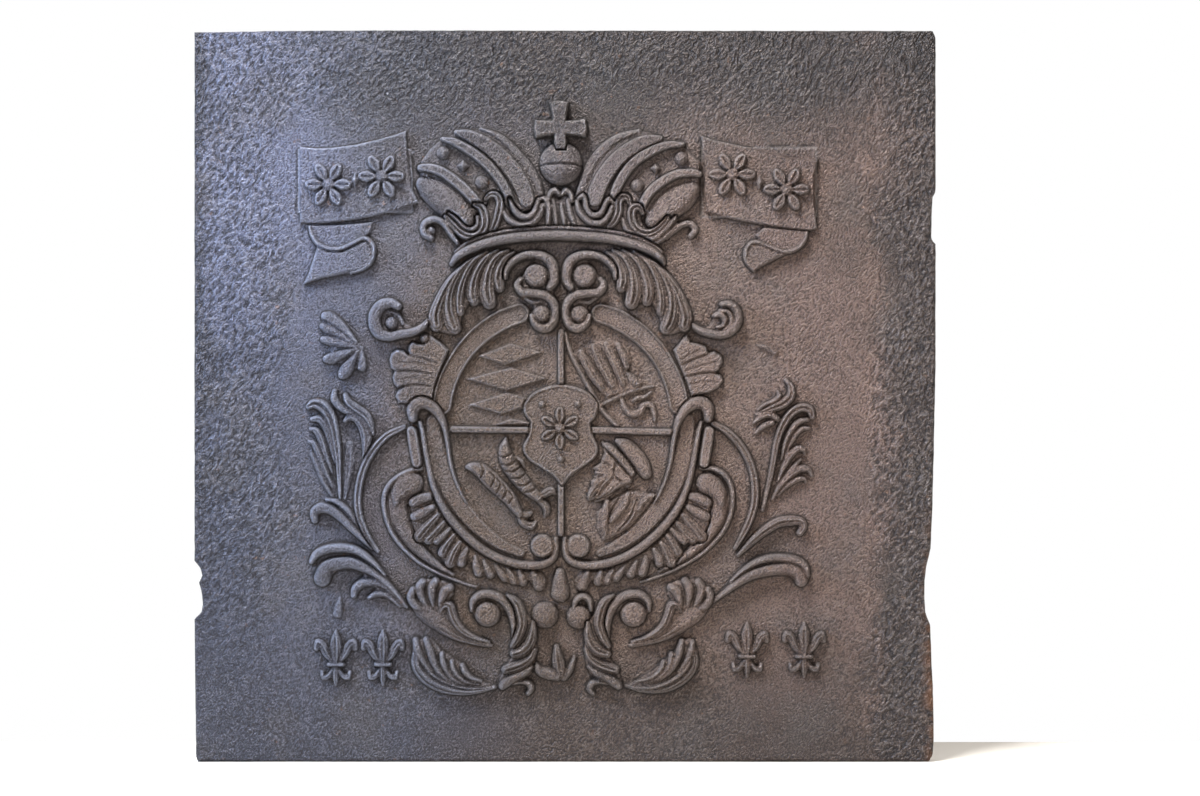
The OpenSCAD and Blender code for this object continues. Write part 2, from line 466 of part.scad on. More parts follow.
module sprig_leaf_right_form() {
    ridge("leaf", 6, [[225, 380.5, 2.6], [229, 374, 3.8], [227.8, 364.5, 4.4], [220, 358.2, 4.4],
        [195, 348.5, 1.6]]);
    ridge("leaf", 5.5, [[213, 368.5, 2], [218, 366, 2.9], [201, 355.5, 1.6]]);
    ridge("leaf", 5.5, [[192.5, 340, 1.3], [200, 346, 2.8], [209, 347.5, 3.3], [216, 343.5, 3]]);
    ridge("leaf", 5, [[194, 329.5, 1.2], [201, 337, 2.8], [210, 341, 3]]);
    ridge("leaf", 3, [[197, 417, 1.5], [206, 414.5, 3.2], [214, 409.5, 2.5]]);
}
module hook_left_form() {
    slab(3, [[-247, 248], [-240, 256], [-226, 257], [-212, 247], [-200, 232], [-193, 221], [-200, 224],
        [-212, 237], [-224, 247], [-236, 249]]);
    ridge("leaf", 8, [[-246, 242, 3.4], [-246.3, 250, 4.7], [-239, 254.6, 5.6], [-219, 244.5, 4.8],
        [-189, 214.5, 2]]);
    ridge("leaf", 6.5, [[-234, 262.5, 2], [-223.5, 260, 3.2], [-213.5, 251.5, 3.5], [-190.5, 221.5, 1.2]]);
}
module hook_right_form() {
    ridge("leaf", 7.5, [[238.5, 229.5, 3.5], [242, 235.5, 4.2], [238.8, 241, 4.4], [218, 240, 5.2],
        [196, 225.5, 4.2], [177, 207, 1.8]]);
}
module comma_left_form() {
    ridge("leaf", 9.5, [[-249, 201, 3], [-243.5, 208.5, 4.4], [-232, 213.3, 5], [-205, 212, 4.6],
        [-176, 187, 1.5]]);
    ridge("leaf", 9.5, [[-238.5, 184, 8.6], [-234, 195, 7.8], [-210, 200, 6.5], [-174, 179, 3.1],
        [-154, 155, 1.2]]);
    ridge("leaf", 7, [[-207, 167, 3.2], [-205, 174.5, 4.2], [-197, 180, 4.6], [-175, 176, 3.6],
        [-156, 156, 1.5]]);
    ridge("leaf", 6, [[-192, 164.5, 2], [-185, 168.5, 3], [-176, 168.5, 3], [-161, 156, 1.5]]);
    ridge("leaf", 5, [[-221, 164, 1.5], [-223, 149, 5]]);
}
module comma_right_form() {
    ridge("leaf", 9, [[246, 187, 3], [243.5, 195.5, 4.2], [235.5, 201.5, 4.7], [208, 203.8, 4.3],
        [182, 192, 2.6], [170, 181, 1.5]]);
    ridge("leaf", 9.5, [[240, 182, 6.6], [236, 190, 6.8], [226, 194, 6.8], [201, 191, 5.8],
        [177, 180, 4.2], [152, 161, 1.8]]);
}
module bottom_acanthus_left_form() {
    slab(5, [[-144, 176], [-131, 178], [-115, 176], [-109, 166], [-109, 148], [-101, 132], [-87, 122],
        [-72, 119], [-88, 117], [-112, 126], [-134, 141], [-145, 158]]);
    ridge("leaf", 9.5, [[-133, 166, 10], [-133.5, 154, 13], [-125, 142, 12.5], [-98, 123.5, 6.8],
        [-69, 118, 2]]);
    ridge("leaf", 10, [[-142, 162, 5], [-146, 172.5, 6.3], [-144.5, 178, 5]]);
    ridge("leaf", 10, [[-131, 165, 5], [-133, 177, 6.8], [-131.5, 182, 5]]);
    ridge("leaf", 10.5, [[-121, 166, 5], [-119.5, 175.5, 8.2], [-118, 180, 6]]);
    ridge("leaf", 10.5, [[-119.5, 155, 3], [-114.5, 160, 4.6], [-109, 156, 4.8], [-104, 137, 4],
        [-86, 124, 2.3], [-73, 121, 1.3]]);
}
module bottom_leaf_left_form() {
    slab(5, [[-146, 108], [-142, 118], [-131, 118], [-118, 108], [-107, 99], [-95, 91], [-88, 82],
        [-74, 77], [-84, 72], [-104, 70], [-124, 76], [-140, 90]]);
    ridge("leaf", 9.5, [[-138, 110, 9], [-138, 98, 12], [-128.5, 86, 12.3], [-98, 74.8, 7.2],
        [-66, 75.5, 2.4]]);
    ridge("leaf", 9.5, [[-137, 106, 5], [-143.5, 116, 6.2], [-144, 122, 4.6]]);
    ridge("leaf", 9.5, [[-129.5, 104, 5], [-133, 116, 6.2], [-132, 122, 4.6]]);
    ridge("leaf", 10, [[-122, 95, 4.6], [-120, 105, 5.2], [-116.5, 110, 4]]);
    ridge("leaf", 10, [[-113.5, 88, 4], [-110.5, 98, 4.8], [-107, 102, 3.6]]);
    ridge("leaf", 10, [[-105, 91, 3], [-101.3, 97, 4.2], [-87, 83.7, 2.8], [-77, 80.5, 1.6]]);
}
module bottom_leaf_right_form() {
    slab(5, [[135, 112], [128, 118], [119, 116], [110, 103], [100, 94], [90, 84], [72, 79], [82, 74],
        [98, 72], [116, 76], [130, 90]]);
    ridge("leaf", 9.5, [[125.5, 113, 7.5], [126.5, 101, 9.5], [120, 89.5, 10.3], [95, 76.3, 6.8],
        [65, 77.5, 2]]);
    ridge("leaf", 9.5, [[126.5, 106, 4.6], [129.5, 115, 5.2], [127.5, 121, 3.8]]);
    ridge("leaf", 9.5, [[119, 104, 4.6], [120.5, 114, 5.2], [118.5, 120, 3.8]]);
    ridge("leaf", 10, [[112.5, 96, 4.2], [111.5, 105, 4.6], [108.5, 110, 3.6]]);
    ridge("leaf", 10, [[107.5, 92.5, 3], [103, 97, 3.8], [92.5, 87, 3.6], [75, 81, 1.5]]);
}
module bottom_volute_left_form() {
    button(-73.3, 148.5, eye_r + 1, 9.5, 0.5);
    ridge("leaf", 8.5, [[-89, 152, 2], [-88, 161, 3.6], [-80.5, 167.5, 4.2], [-70, 168, 4.6],
        [-60, 163.5, 4.6], [-52, 154.5, 4.6], [-47.7, 144, 4.4], [-46.5, 133, 3.6], [-47.5, 124, 2]]);
}
module bottom_frond_left_form() {
    slab(3.5, [[-50, 163], [-40, 154], [-32, 138], [-28, 116], [-30, 98], [-40, 84], [-54, 78],
        [-56, 92], [-48, 106], [-44, 120], [-42, 135], [-45, 150]]);
    ridge("leaf", 9, [[-53, 166.5, 2], [-45, 160.3, 4.6], [-39, 137, 5.6], [-48, 116.5, 3]]);
    ridge("leaf", 9, [[-27.5, 140, 2.5], [-32, 118, 5.8], [-46.5, 109, 4.6]]);
    ridge("leaf", 9, [[-26, 113, 2.5], [-39, 98.3, 5.6], [-55, 92.8, 4.6]]);
    ridge("leaf", 8.5, [[-29, 96, 2.5], [-55, 80.3, 5.5], [-58.5, 76.5, 4]]);
}
module bottom_drop_form() {
    ridge("leaf", 9, [[-1, 190, 4.5], [-0.8, 169.5, 9.5]]);
}
module bottom_knobs_form() {
    button(-16, 147.5, 13.3, 10.5);
    button(17.5, 145.5, 12, 9.5);
    ridge("leaf", 8.5, [[13, 153, 2], [15, 162, 3], [22, 166.3, 3.4], [28.5, 161.5, 3.2],
        [30, 152.5, 2.2]]);
    ridge("leaf", 9.5, [[-4.5, 116, 2.5], [-2, 96.5, 6.5], [0, 88.5, 5.5]]);
    ridge("leaf", 9, [[-25, 98, 2.6], [-21, 91.5, 4.8], [-4, 86.5, 5]]);
    ridge("leaf", 8, [[3, 85.5, 4], [8, 91, 3.6], [13.5, 105.5, 2]]);
}
module palmette_form() {
    slab(2.8, [[-197, 412], [-208, 421], [-224, 438], [-229, 430], [-229, 420], [-227, 408],
        [-220, 402], [-213, 390], [-204, 394], [-197, 398]]);
    ridge("leaf", 6.5, [[-205, 420, 2], [-229, 443, 6.6], [-235, 445.5, 5]]);
    ridge("leaf", 6, [[-206, 417.5, 2], [-232, 433, 5.6], [-237.5, 435.5, 4]]);
    ridge("leaf", 6, [[-205, 415, 2], [-237, 422.5, 3.6]]);
    ridge("leaf", 6.5, [[-204, 412.5, 2], [-228, 404, 6], [-234, 403, 4]]);
    ridge("leaf", 6.5, [[-202, 411, 2], [-218, 387.5, 5]]);
    ridge("leaf", 5.5, [[-199, 410, 2], [-199, 395.5, 5]]);
}
module shield_bars_form() {
    ridge("flat", 4.5, [[0, 430, 3.2], [0, 379, 3.2]]);
    ridge("flat", 4.5, [[0, 276, 3.2], [0, 229, 3.2]]);
    ridge("flat", 4.5, [[-108, 332.6, 3.2], [-34, 332, 3.2]]);
    ridge("flat", 4.5, [[30, 332, 3.2], [110, 330, 3.2]]);
}
heart_outline = [[-1, 378], [-14, 375.5], [-28, 369.5], [-37.5, 357], [-35.5, 346], [-30.5, 340],
    [-32.5, 327], [-38.5, 314], [-32, 302], [-19.5, 293.5], [-7, 285], [1, 275.5], [9, 285],
    [18.5, 292.5], [33, 303], [37.5, 314], [31.5, 327], [29.5, 339], [34.5, 345], [37.5, 357],
    [29, 368.5], [14, 375.5]];
module heart_field_form() {
    slab(7, heart_outline);
}
module heart_shield_form() {
    difference() {
        heart_field_form();
        translate([0, 0, 4.2]) linear_extrude(4) offset(delta = -rim_w) polygon(heart_outline);
    }
    rosette(-1, 334, rosette_r*0.9, 8, start = 30);
    for (p = [[-19, 360], [17, 360], [0, 303]]) button(p[0], p[1], 3.5, 7);
}
module quarter_lozenges_form() {
    slab(2.6, [[-83, 406], [-50, 418.5], [-19, 409.5], [-56, 397]]);
    slab(2.6, [[-95, 383], [-50, 394.5], [-13.5, 383.5], [-54, 371.5]]);
    slab(2.6, [[-93, 357], [-54, 369.5], [-34, 364.5], [-38.5, 354], [-60, 348]]);
    slab(2.6, [[-67, 337], [-50, 343.5], [-32, 340], [-31, 337.5]]);
}
module quarter_pennon_form() {
    ridge("leaf", 5.5, [[4, 428, 1.8], [9, 411, 2.4], [41, 352, 2.4], [56, 336, 2]]);
    slab(3, [[12, 408], [24, 417], [40, 421], [56, 421], [67, 414], [70, 400], [66, 391], [82, 381],
        [80, 373], [62, 369], [46, 364], [36, 374], [26, 392]]);
    ridge("leaf", 6.5, [[20, 410, 3], [26, 398, 5.2], [41, 374, 3.5]]);
    ridge("leaf", 6.5, [[32, 416, 3], [51, 376, 3.5]]);
    ridge("leaf", 6.5, [[45, 418, 3], [57, 392, 5], [62, 378, 3.2]]);
    ridge("leaf", 6, [[57, 417, 3], [65, 396, 3.5]]);
    ridge("leaf", 5.5, [[64, 390, 2], [76, 378, 4]]);
    ridge("leaf", 5, [[38, 356, 1.5], [68, 370, 2], [92, 375.5, 1.2]]);
    ridge("leaf", 5, [[60, 364, 1.6], [64, 354, 3], [71, 348, 3.6], [79, 350, 3.6], [83, 357, 3.2],
        [90, 357, 3], [94, 342, 1.6]]);
    ridge("leaf", 4.5, [[72, 361, 1.4], [76, 364, 2.2], [84, 365, 2], [90, 370, 1.4]]);
}
module quarter_fish_form() {
    ridge("leaf", 7, [[-98, 295.5, 2.2], [-88, 296.5, 4], [-64, 279, 8], [-41, 247, 5]]);
    ridge("leaf", 6, [[-47, 246, 2.5], [-33, 238, 5.5], [-36, 233, 3.5]]);
    ridge("leaf", 7, [[-61, 323, 2.2], [-57, 299, 6.8], [-23, 258, 5]]);
    ridge("leaf", 6, [[-30, 259, 2.5], [-14, 265, 6], [-11, 270, 4]]);
    ridge("leaf", 4.5, [[-55, 322, 1], [-50, 311, 2.8], [-27, 281, 1.8]]);
}
module quarter_bust_form() {
    slab(4.5, [[38, 250], [37, 236], [42, 222], [58, 229], [74, 238], [82, 252], [97, 265], [90, 268],
        [78, 268], [66, 264], [52, 256], [44, 250]]);
    ridge("leaf", 10, [[58, 321, 4], [67, 313, 7.5], [86, 286, 6]]);
    ridge("leaf", 9.5, [[45, 316, 3], [61, 297.5, 5], [74, 286, 2.6]]);
    button(50, 288.5, 15.5, 8.5);
    ridge("leaf", 9.5, [[39, 293, 2.2], [36.3, 288.5, 2.8], [38.5, 285, 2.4]]);
    ridge("leaf", 8, [[62, 285, 3], [66, 279, 4.5], [63, 273, 3.5]]);
    ridge("leaf", 8, [[46, 251, 3], [54, 246, 4], [72, 263, 3.6]]);
    ridge("leaf", 8, [[45, 234, 3], [58, 238, 4.5], [69, 246, 4.5], [75, 257, 3]]);
    ridge("leaf", 7, [[76, 250, 2], [80, 259, 4], [95, 267, 2]]);
}

module crown_band_form() {
    crown_fleurons_form();
    crown_curl_left_form();
    crown_curl_right_form();
}
// the caps end clear of the whole leaf band, along one plain outline
module crown_band_room() {
    slab(12, [[-142, 520], [-142, 541], [-128, 549], [-114, 552], [-96, 542], [-91, 545], [-92, 562],
        [-80, 563], [-76, 571], [-62, 573], [-46, 567], [-40, 554], [-32, 552], [-28, 568], [-16, 568],
        [-6, 578], [6, 578], [16, 568], [28, 570], [33, 554], [40, 558], [46, 570], [60, 573], [72, 568],
        [80, 562], [88, 556], [86, 542], [98, 543], [110, 552], [120, 546], [134, 542], [141, 530], [138, 520]]);
}

// ---- the castings' forms, each on the plate and clear of its neighbours ----
module crown_cap_left() motif(iron_blue, crown_relief) {
    crown_cap_left_form();
    crown_band_room();
    crown_orb_form();
}
module crown_cap_right() motif(iron_grey, crown_relief) {
    crown_cap_right_form();
    crown_band_room();
    crown_orb_form();
}
module crown_orb() motif(iron_grey, orb_relief) {
    crown_orb_form();
    crown_cross_form();
}
module crown_cross() motif(iron_grey, cross_relief) crown_cross_form();
module crown_fleurons() motif(iron_grey, fleuron_relief) {
    crown_band_form();
    crown_circlet_form();
}
module crown_circlet() motif(iron_grey, circlet_relief) crown_circlet_form();
module banner_left() motif(iron_blue, banner_relief) banner_left_form();
module banner_right() motif(iron_brown, banner_relief) banner_right_form();
module banner_tail_left() motif(iron_blue, tail_relief) {
    banner_tail_left_form();
    banner_left_form();
}
module banner_tail_right() motif(iron_brown, tail_relief) {
    banner_tail_right_form();
    banner_right_form();
}
module banner_rosettes_left() motif(iron_blue, rosette_relief, banner_relief) {
    union() {
        rosette(-232, 577, rosette_r, 5);
        rosette(-179, 585, rosette_r, 5);
        lozenge(-205.5, 581, 4, 8, 5);
    }
}
module banner_rosettes_right() motif(iron_brown, rosette_relief, banner_relief) {
    union() {
        rosette(171, 587, rosette_r, 5);
        rosette(225, 572, rosette_r, 5);
        lozenge(198, 579.5, 4, 8, 5);
    }
}
module top_volute_left() motif(iron_blue, volute_relief) top_volute_left_form();
module top_volute_right() motif(iron_grey, volute_relief) twin() top_volute_left_form();
module top_acanthus_left() motif(iron_blue, acanthus_relief) {
    top_acanthus_left_form();
    top_volute_left_form();
    crown_circlet_form();
}
module top_acanthus_right() motif(iron_grey, acanthus_relief) {
    twin() top_acanthus_left_form();
    twin() top_volute_left_form();
    crown_circlet_form();
}
module horn_scroll_left() motif(iron_blue, horn_relief) {
    horn_scroll_left_form();
    top_acanthus_left_form();
}
module horn_scroll_right() motif(iron_brown, horn_relief) {
    horn_scroll_right_form();
    twin() top_acanthus_left_form();
}
module shell_left() motif(iron_grey, shell_relief) {
    shell_left_form();
    oval_moulding_left_form();
    strap_hook_left_form();
    top_acanthus_left_form();
    horn_scroll_left_form();
}
module shell_right() motif(iron_brown, shell_relief) {
    shell_right_form();
    twin() oval_moulding_left_form();
    twin() strap_hook_left_form();
    twin() top_acanthus_left_form();
    horn_scroll_right_form();
}
module oval_moulding_left() motif(iron_grey, moulding_relief) {
    oval_moulding_left_form();
    top_volute_left_form();
    strap_hook_left_form();
    top_acanthus_left_form();
}
module oval_moulding_right() motif(iron_brown, moulding_relief) {
    twin() oval_moulding_left_form();
    twin() top_volute_left_form();
    twin() strap_hook_left_form();
    twin() top_acanthus_left_form();
}
module strap_form() {
    strap_hook_left_form();
    strap_scroll_left_form();
    strap_eye_left_form();
}
module strap_scroll_left() motif(iron_grey, strap_relief) strap_form();
module strap_scroll_right() motif(iron_brown, strap_relief) twin() strap_form();
module upright_bar_left() motif(iron_grey, bar_relief) {
    upright_bar_left_form();
    strap_form();
}
module upright_bar_right() motif(iron_brown, bar_relief) {
    twin() upright_bar_left_form();
    twin() strap_form();
}
module outer_scroll_left() motif(iron_grey, scroll_relief*0.7) {
    outer_scroll_left_form();
    upright_bar_left_form();
    strap_form();
}
module outer_scroll_right() motif(iron_brown, scroll_relief*0.7) {
    outer_scroll_right_form();
    twin() upright_bar_left_form();
    twin() strap_form();
}
module inner_scroll_left() motif(iron_grey, scroll_relief) {
    inner_scroll_left_form();
    upright_bar_left_form();
    strap_form();
    bottom_acanthus_left_form();
}
module inner_scroll_right() motif(iron_brown, scroll_relief) {
    inner_scroll_right_form();
    twin() upright_bar_left_form();
    twin() strap_form();
    twin() bottom_acanthus_left_form();
}
module frill_left() motif(iron_grey, frill_relief) {
    frill_left_form();
    strap_form();
    inner_scroll_left_form();
    bottom_drop_form();
}
module frill_right() motif(iron_brown, frill_relief) {
    twin() frill_left_form();
    twin() strap_form();
    inner_scroll_right_form();
    bottom_drop_form();
}
module sprig_left() motif(iron_blue, sprig_relief) {
    union() {
        sprig_left_form();
        sprig_leaf_left_form();
    }
    hook_left_form();
    outer_scroll_left_form();
}
module sprig_right() motif(iron_brown, sprig_relief*0.85) {
    union() {
        sprig_right_form();
        sprig_leaf_right_form();
    }
    hook_right_form();
    outer_scroll_right_form();
}
module hook_left() motif(iron_blue, sprig_relief) {
    hook_left_form();
    outer_scroll_left_form();
}
module hook_right() motif(iron_brown, sprig_relief) {
    hook_right_form();
    outer_scroll_right_form();
}
module comma_left() motif(iron_blue, comma_relief) {
    comma_left_form();
    bottom_acanthus_left_form();
}
module comma_right() motif(iron_brown, comma_relief) {
    comma_right_form();
    twin() bottom_acanthus_left_form();
}
module bottom_acanthus_left() motif(iron_grey, acanthus_relief) bottom_acanthus_left_form();
module bottom_acanthus_right() motif(iron_brown, acanthus_relief) twin() bottom_acanthus_left_form();
module bottom_leaf_left() motif(iron_grey, acanthus_relief) bottom_leaf_left_form();
module bottom_leaf_right() motif(iron_brown, acanthus_relief) bottom_leaf_right_form();
module bottom_volute_left() motif(iron_grey, volute_relief) {
    bottom_volute_left_form();
    bottom_frond_left_form();
}
module bottom_volute_right() motif(iron_brown, volute_relief) {
    twin() bottom_volute_left_form();
    twin() bottom_frond_left_form();
}
module bottom_frond_left() motif(iron_grey, acanthus_relief) {
    bottom_frond_left_form();
    bottom_leaf_left_form();
}
module bottom_frond_right() motif(iron_brown, acanthus_relief) {
    twin() bottom_frond_left_form();
    bottom_leaf_right_form();
}
module bottom_knobs() motif(iron_brown, acanthus_relief) {
    union() {
        bottom_knobs_form();
        bottom_drop_form();
    }
    bottom_frond_left_form();
    twin() bottom_frond_left_form();
}
module palmette() motif(iron_blue, sprig_relief) palmette_form();
module shield_bars() motif(iron_grey, field_relief) {
    shield_bars_form();
    heart_field_form();
    strap_form();
    twin() strap_form();
    top_volute_left_form();
    twin() top_volute_left_form();
}
module heart_shield() motif(iron_brown, heart_relief) {
    heart_shield_form();
}
module quarter_lozenges() motif(iron_grey, field_relief*0.6) {
    quarter_lozenges_form();
    shield_bars_form();
    heart_field_form();
}
module quarter_pennon() motif(iron_brown, figure_relief*0.7) {
    quarter_pennon_form();
    shield_bars_form();
    heart_field_form();
    twin() strap_form();
}
module quarter_fish() motif(iron_grey, figure_relief) {
    quarter_fish_form();
    shield_bars_form();
    heart_field_form();
    strap_form();
}
module quarter_bust() motif(iron_brown, figure_relief) {
    quarter_bust_form();
    shield_bars_form();
    heart_field_form();
    twin() strap_form();
}
module lily_form(x, z) {
    k = lily_size/62;
    side = [[4, -5, 2], [10, 5, 4.5], [17, 17, 5.5], [22, 11, 3.5]];
    root = [[3, -9, 2.2], [9, -20, 3.5], [16, -15, 2.2]];
    for (way = [-1, 1]) {
        ridge("leaf", 6, moved([for (q = side) [way*q[0], q[1], q[2]]], x, z, k));
        ridge("leaf", 6, moved([for (q = root) [way*q[0], q[1], q[2]]], x, z, k));
    }
    ridge("leaf", 6, moved([[0, -6, 3], [0, 12, 7], [0, 31, 1.5]], x, z, k));
    ridge("leaf", 6, moved([[0, -10, 3.5], [0, -30, 1.5]], x, z, k));
    ridge("leaf", 7, moved([[-9, -7, 2.8], [9, -7, 2.8]], x, z, k));
}
module lily_1() motif(iron_blue, lily_relief) lily_form(-225, 104);
module lily_2() motif(iron_blue, lily_relief) lily_form(-178, 104);
module lily_3() motif(iron_brown, lily_relief) lily_form(186, 112);
module lily_4() motif(iron_brown, lily_relief) lily_form(243, 112);

back_plate();
crown_cap_left();
crown_cap_right();
crown_orb();
crown_cross();
crown_fleurons();
crown_circlet();
banner_left();
banner_right();
banner_tail_left();
banner_tail_right();
banner_rosettes_left();
banner_rosettes_right();
top_volute_left();
top_volute_right();
top_acanthus_left();
top_acanthus_right();
horn_scroll_left();
horn_scroll_right();
shell_left();
shell_right();
oval_moulding_left();
oval_moulding_right();
strap_scroll_left();
strap_scroll_right();
upright_bar_left();
upright_bar_right();
outer_scroll_left();
outer_scroll_right();
inner_scroll_left();
inner_scroll_right();
frill_left();
frill_right();
sprig_left();
sprig_right();
hook_left();
hook_right();
comma_left();
comma_right();
bottom_acanthus_left();
bottom_acanthus_right();
bottom_leaf_left();
bottom_leaf_right();
bottom_volute_left();
bottom_volute_right();
bottom_frond_left();
bottom_frond_right();
bottom_knobs();
palmette();
shield_bars();
heart_shield();
quarter_lozenges();
quarter_pennon();
quarter_fish();
quarter_bust();
lily_1();
lily_2();
lily_3();
lily_4();
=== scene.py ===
"""Looks of a cast-iron fireback: pitted plate and the relief of its founder's pattern blocks.

Every motif of the relief is drawn as strokes on a flat board, in millimetres: x across, z up and
a half width. The strokes raise a height field, which is modelled on a fine grid set on the plate.
"""

import json
import math

import bmesh
import bpy
import numpy as np
from mathutils import Matrix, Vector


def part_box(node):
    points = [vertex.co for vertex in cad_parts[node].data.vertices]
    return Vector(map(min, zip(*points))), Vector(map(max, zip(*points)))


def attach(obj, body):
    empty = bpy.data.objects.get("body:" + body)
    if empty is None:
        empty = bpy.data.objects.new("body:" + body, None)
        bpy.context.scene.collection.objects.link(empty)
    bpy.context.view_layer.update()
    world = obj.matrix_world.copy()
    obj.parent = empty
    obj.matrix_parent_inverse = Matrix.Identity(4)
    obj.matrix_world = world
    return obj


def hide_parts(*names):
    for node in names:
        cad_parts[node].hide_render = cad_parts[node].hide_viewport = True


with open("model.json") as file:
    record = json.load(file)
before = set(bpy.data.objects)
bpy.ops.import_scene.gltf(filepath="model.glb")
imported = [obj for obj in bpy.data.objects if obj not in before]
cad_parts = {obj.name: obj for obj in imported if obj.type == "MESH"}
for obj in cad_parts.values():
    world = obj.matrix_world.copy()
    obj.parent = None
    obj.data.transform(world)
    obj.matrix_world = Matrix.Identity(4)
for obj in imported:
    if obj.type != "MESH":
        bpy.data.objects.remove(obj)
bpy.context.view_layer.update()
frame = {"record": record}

MM = 0.001
PLATE_W, PLATE_H = 743.0, 732.0
HALF_W = 371.0             # from the plate's middle to its sides, for the coarse sand
AXIS = -0.5                # axis on which the drawing is mirrored
SHIFT = 4.0                # the drawing lies this far left of the plate's middle
FRONT = 9.0                # front face of the plate from its middle plane
BURIED = 2.2               # the motifs' meshes end this far inside the plate
CELL = 0.8                 # grid of the relief
BOARD_X, BOARD_Z = -280.0, 60.0        # lower left corner of the drawing board
BOARD_ACROSS, BOARD_UP = 696, 762      # its grid points
FILLET_HIGH, FILLET_WIDE = 0.9, 2.2    # fillet where a form meets the plate
REACH = 3.3                # how far a motif's mesh runs out round its forms
STEP = 2.0                 # a stroke's curve is drawn in straights of about this length
THINNEST = 0.3             # least half width of a stroke
CUT_FLOOR = 0.15           # a groove leaves at least this share of a form's height
WEB_SPAN = 3.0             # blur that finds the gaps which a web fills
SUNK = 0.45                # the rim of a motif's mesh lies this far under the plate's skin
SOFTENED = 0.45            # blur of the cast forms
FULL_WIDTH = 4.0           # strokes of a smaller half width rise less
LILY_SIZE = 54 / 62        # the lilies are 54 mm high, and their drawing 62
BANNER_FACE = 4.5          # height of the banners' boards, which carry the rosettes


# ---- drawing the relief ----
def ridge(kind, height, path):
    """A raised stroke along points of x, z and half width; the kind is its cross section."""
    return ("ridge", kind, height, path)


def slab(height, outline, edge=2.0):
    """A board inside an outline, rounded off over the edge's width."""
    return ("slab", height, outline, edge)


def button(x, z, radius, height, flat=0.0):
    """A round knob; the flat share of its radius stays level."""
    return ("button", x, z, radius, height, flat)


def lozenge(x, z, across, up, height):
    """A pointed boss; across and up are half its sizes."""
    return ("lozenge", x, z, across, up, height)


def groove(depth, path):
    """A cut along points of x, z and half width, made after all that is raised."""
    return ("groove", depth, path)


def mirrored(forms):
    """The same forms on the other side of the axis."""
    flipped = []
    for form in forms:
        form = list(form)
        if form[0] == "ridge":
            form[3] = [[2 * AXIS - p[0], p[1], p[2]] for p in form[3]]
        elif form[0] in ("slab", "groove"):
            form[2] = [[2 * AXIS - p[0]] + list(p[1:]) for p in form[2]]
        else:
            form[1] = 2 * AXIS - form[1]
        flipped.append(tuple(form))
    return flipped


def rosette(x, z, radius, height, petals=6, start=0):
    """Flat petals, each with a groove along it, round a button."""
    forms = []
    for i in range(petals):
        turn = math.radians(start + 360 * i / petals)
        c, s = math.cos(turn), math.sin(turn)
        petal = [[x + c * radius * out, z + s * radius * out, radius * wide]
                 for out, wide in ((0.3, 0.1), (0.62, 0.26), (0.84, 0.18))]
        vein = [[x + c * radius * out, z + s * radius * out, 0.9] for out in (0.4, 0.85)]
        forms += [ridge("flat", height * 0.85, petal), groove(height * 0.35, vein)]
    return forms + [button(x, z, radius * 0.28, height)]


def lily(x, z):
    """A lily round the point x, z: three petals, a stem and two roots, held by a clasp."""
    side = [[4, -4, 2], [10, 4, 4], [15, 14, 5], [20, 18, 4.5], [22, 12, 3.5]]
    root = [[3, -12, 1.8], [8, -20, 3], [14, -22, 3], [16, -16, 2.2]]
    petal = [[0, -6, 3], [0, 8, 6.5], [0, 20, 6], [0, 31, 1.5]]
    stem = [[0, -10, 3], [0, -20, 4], [0, -30, 1.5]]
    clasp = [[-8, -7, 2.6], [0, -7, 3], [8, -7, 2.6]]

    def set_down(path, way=1):
        return [[x + way * p[0] * LILY_SIZE, z + p[1] * LILY_SIZE, p[2] * LILY_SIZE] for p in path]

    forms = [ridge("leaf", 6, set_down(path, way)) for path in (side, root) for way in (-1, 1)]
    return forms + [ridge("leaf", 6, set_down(petal)), ridge("leaf", 6, set_down(stem)),
                    ridge("round", 7, set_down(clasp))]


def pair(name, left, right=None):
    """A motif on both sides, mirrored where the right side has no drawing of its own."""
    return {name + "_left": left, name + "_right": right or mirrored(left)}


# ---- the founder's pattern blocks ----
CROWN_CAP_LEFT = [
    slab(5.5, [[-141, 590], [-140, 600], [-131, 613], [-118, 624], [-100, 630], [-84, 632], [-68, 627],
        [-50, 615], [-34, 599], [-22, 581], [-17, 565], [-24, 552], [-48, 548], [-66, 560], [-84, 548],
        [-94, 538], [-104, 545], [-126, 552], [-141, 566]], 4),
    ridge("round", 6.8, [[-80, 632.5, 2], [-63, 625, 4], [-49, 613, 5], [-35.5, 597, 5.5],
        [-25.5, 580, 5.5], [-20.5, 566, 4]]),
    ridge("flat", 8.8, [[-104, 629, 3], [-91, 625, 7], [-75, 616.5, 9], [-60, 604, 10], [-47, 588.5, 10.5],
        [-38, 573.5, 10], [-34, 562, 9]]),
    ridge("flat", 11, [[-118, 622, 2.5], [-109, 620, 4], [-100, 616, 5], [-85.5, 607, 5.6],
        [-71, 594.5, 5.7], [-60, 580.5, 5.3], [-53, 568, 5], [-49, 558, 4]]),
    button(-117.5, 608.5, 7.6, 11.5),
    lozenge(-97.5, 595.5, 9.5, 8.5, 11),
    button(-79, 579, 7.8, 11.5),
    ridge("flat", 11, [[-140, 593.5, 3.6], [-130, 593, 5], [-118, 589, 5.6], [-105, 580, 6], [-93, 569, 6],
        [-83, 557.5, 5.4], [-77, 549, 4.5]]),
    ridge("round", 9.5, [[-137, 577.5, 8], [-127, 571.5, 14], [-114, 562.5, 16.5], [-102, 551, 14],
        [-95, 542, 9]]),
]
